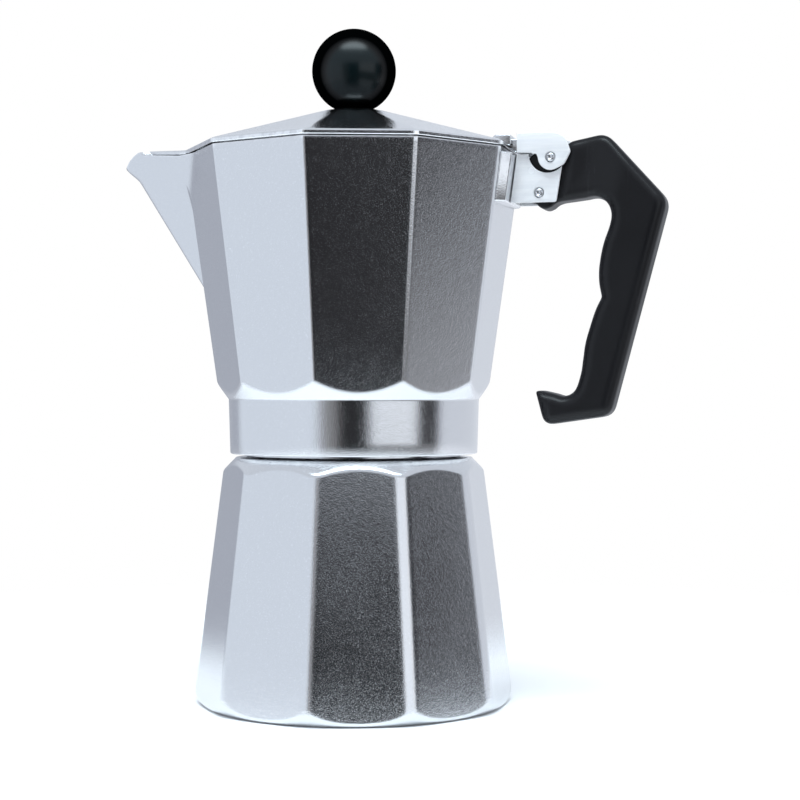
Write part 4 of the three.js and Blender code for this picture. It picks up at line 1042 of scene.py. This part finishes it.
addPiece("funnelSpun", makeFunnel(), spunAluminium, "funnel", "spun_aluminium", "funnel_basket")
addPiece("gasketRing", makeGasket(), sealRubber, "seal", "gasket_rubber", "gasket")
strainer = makePerforated("strainerPlate", "funnel_strainer", 1.1 * mm)
addPiece("strainerPlate", strainer, spunAluminium, "funnel", "spun_aluminium", "funnel_strainer")
filterMesh = makePerforated("filterDisc", "filter_plate", 0.9 * mm)
addPiece("filterDisc", filterMesh, spunAluminium, "seal", "spun_aluminium", "filter_plate")

carriedOver = (
    (castAluminium, ("coffee_column",)), (valveFibre, ("valve_washer",)),
    (valveBrass, ("valve_body", "valve_nut", "valve_cap")),
    (pinSteel, ("knob_screw", "knob_washer", "hinge_rivet_near", "hinge_rivet_far", "bracket_rivet_upper",
                "bracket_rivet_lower", "valve_pin", "valve_spring")),
)
for material, nodeNames in carriedOver:
    for nodeName in nodeNames:
        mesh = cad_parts[nodeName].data
        mesh.materials.clear()
        mesh.materials.append(material)
        mesh.polygons.foreach_set("use_smooth", [True] * len(mesh.polygons))
        mesh.set_sharp_from_angle(angle=math.radians(35))
print("inside pieces finished")


studio = {
    "floorRadius": 0.40, "fadeStart": 0.10, "fadeEnd": 0.38, "floor": (0.93, 0.935, 0.94),
    "cameraTurn": 14.7, "distance": 0.576, "eye": 0.0988, "side": 0.0147, "lens": 81, "sensor": 36,
    "pitch": 0.2546, "overhead": (0.103, -0.393, 0.914), "across": (0.967, 0.254, 0.0), "stretch": 0.42,
    "overheadGlow": (6.2, 7.2, 7.7), "high": (0.74, 0.79, 0.87), "backdrop": (1.0, 1.0, 1.0),
    "lampSize": (0.55, 0.4), "lampPower": 2.2, "lampColor": (0.97, 0.985, 1.0),
    "lampAt": (-0.05, -0.12, 0.85), "lampAim": (0, 0, 0.05),
}


def makeFloor():  # fades out, so that the pot's sides don't mirror it
    bm = bmesh.new()
    bmesh.ops.create_circle(bm, cap_ends=True, segments=96, radius=studio["floorRadius"])
    floor = placed("floor", finishMesh("floor", bm))
    material, tree, shader = startMaterial("paleFloor", 0.0)
    shader.inputs["Base Color"].default_value = (*studio["floor"], 1)
    shader.inputs["Roughness"].default_value = 0.6
    away = addNode(tree, "ShaderNodeVectorMath", {"operation": "LENGTH"},
                   i0=objectPoint(tree)).outputs["Value"]
    fade = addNode(tree, "ShaderNodeMapRange", {"interpolation_type": "SMOOTHSTEP"}, i0=away,
                   i1=studio["fadeStart"], i2=studio["fadeEnd"], i3=1.0, i4=0.0).outputs[0]
    tree.links.new(fade, shader.inputs["Alpha"])
    floor.data.materials.append(material)


# tones round the studio, as turns from -X through -Y, +X and +Y
upperTones = [
    (0.0, (0.83, 0.90, 1.0)), (0.202, (0.85, 0.92, 1.02)), (0.213, (0.34, 0.345, 0.36)),
    (0.249, (0.27, 0.27, 0.28)),
    (0.260, (0.022, 0.022, 0.024)), (0.328, (0.03, 0.03, 0.033)), (0.338, (1.08, 1.14, 1.22)),
    (0.455, (1.06, 1.11, 1.18)), (0.466, (0.04, 0.04, 0.045)), (0.522, (0.05, 0.05, 0.055)),
    (0.533, (0.76, 0.80, 0.88)), (0.785, (0.78, 0.82, 0.89)), (0.797, (0.46, 0.49, 0.56)),
    (0.927, (0.48, 0.51, 0.585)), (0.938, (0.83, 0.90, 1.0)), (1.0, (0.83, 0.90, 1.0)),
]
lowerChanges = ((0.33, 0.46, (0.2, 0.202, 0.21)), (0.46, 0.53, (0.28, 0.285, 0.30)),
                (0.53, 0.79, (0.94, 0.98, 1.06)), (0.79, 0.93, (0.57, 0.6, 0.67)))  # from, to and tone


def lowerTone(place, tone):  # what stands in for a tone below the horizon
    for start, end, changed in lowerChanges:
        if start < place < end:
            return changed
    return tone


lowerTones = [(place, lowerTone(place, tone)) for place, tone in upperTones]


def toneRamp(tree, place, tones):
    ramp = addNode(tree, "ShaderNodeValToRGB", Fac=place)
    elements = ramp.color_ramp.elements
    for index, (position, tone) in enumerate(tones):
        element = elements[index] if index < 2 else elements.new(position)
        element.position = position
        element.color = (*tone, 1)
    return ramp.outputs[0]


def makeWorld():
    world = bpy.data.worlds.new("studio")
    bpy.context.scene.world = world
    world.use_nodes = True
    tree = world.node_tree
    tree.nodes.clear()
    direction = addNode(tree, "ShaderNodeTexCoord").outputs["Generated"]
    parts = addNode(tree, "ShaderNodeSeparateXYZ", Vector=direction)
    angle = mathNode(tree, "ARCTAN2", parts.outputs[1], parts.outputs[0])
    place = mathNode(tree, "ADD", mathNode(tree, "DIVIDE", angle, turn), 0.5)
    low = rampNode(tree, parts.outputs[2], -0.06, -0.22)
    around = mixColor(tree, low, toneRamp(tree, place, upperTones), toneRamp(tree, place, lowerTones))
    top = rampNode(tree, parts.outputs[2], 0.15, 0.36)
    around = mixColor(tree, top, around, studio["high"])
    lampward = addNode(tree, "ShaderNodeVectorMath", {"operation": "DOT_PRODUCT"}, i0=direction,
                       i1=studio["overhead"]).outputs["Value"]
    across = addNode(tree, "ShaderNodeVectorMath", {"operation": "DOT_PRODUCT"}, i0=direction,
                     i1=studio["across"]).outputs["Value"]
    widened = mathNode(tree, "MULTIPLY", mathNode(tree, "MULTIPLY", across, across), studio["stretch"])
    overhead = rampNode(tree, mathNode(tree, "ADD", lampward, widened), 0.965, 0.99)
    around = mixColor(tree, overhead, around, studio["overheadGlow"])
    seen = addNode(tree, "ShaderNodeLightPath").outputs["Is Camera Ray"]
    around = mixColor(tree, seen, around, studio["backdrop"])
    background = addNode(tree, "ShaderNodeBackground", Color=around, Strength=1.0)
    output = tree.nodes.new("ShaderNodeOutputWorld")
    tree.links.new(background.outputs[0], output.inputs["Surface"])


def makeLight():
    light = bpy.data.lights.new("topPanel", "AREA")
    light.shape = "RECTANGLE"
    light.size, light.size_y = studio["lampSize"]
    light.energy = studio["lampPower"]
    light.color = studio["lampColor"]
    lamp = placed("topPanel", light)
    lamp.visible_glossy = False
    lamp.location = studio["lampAt"]
    lamp.rotation_euler = (Vector(studio["lampAim"]) - lamp.location).to_track_quat("-Z", "Y").to_euler()


def makeCamera():
    turned = math.radians(studio["cameraTurn"])
    back = Vector((math.sin(turned), -math.cos(turned), 0))
    side = Vector((math.cos(turned), math.sin(turned), 0))
    data = bpy.data.cameras.new("camera")
    data.lens, data.sensor_width = studio["lens"], studio["sensor"]
    data.clip_start = 0.01
    camera = placed("camera", data)
    camera.location = back * studio["distance"] + side * studio["side"] + Vector((0, 0, studio["eye"]))
    aim = -back - Vector((0, 0, math.tan(math.radians(studio["pitch"]))))
    camera.rotation_euler = aim.to_track_quat("-Z", "Y").to_euler()
    bpy.context.scene.camera = camera


makeFloor()
makeWorld()
makeLight()
makeCamera()
bpy.context.scene.view_settings.view_transform = "Standard"
print("studio ready")
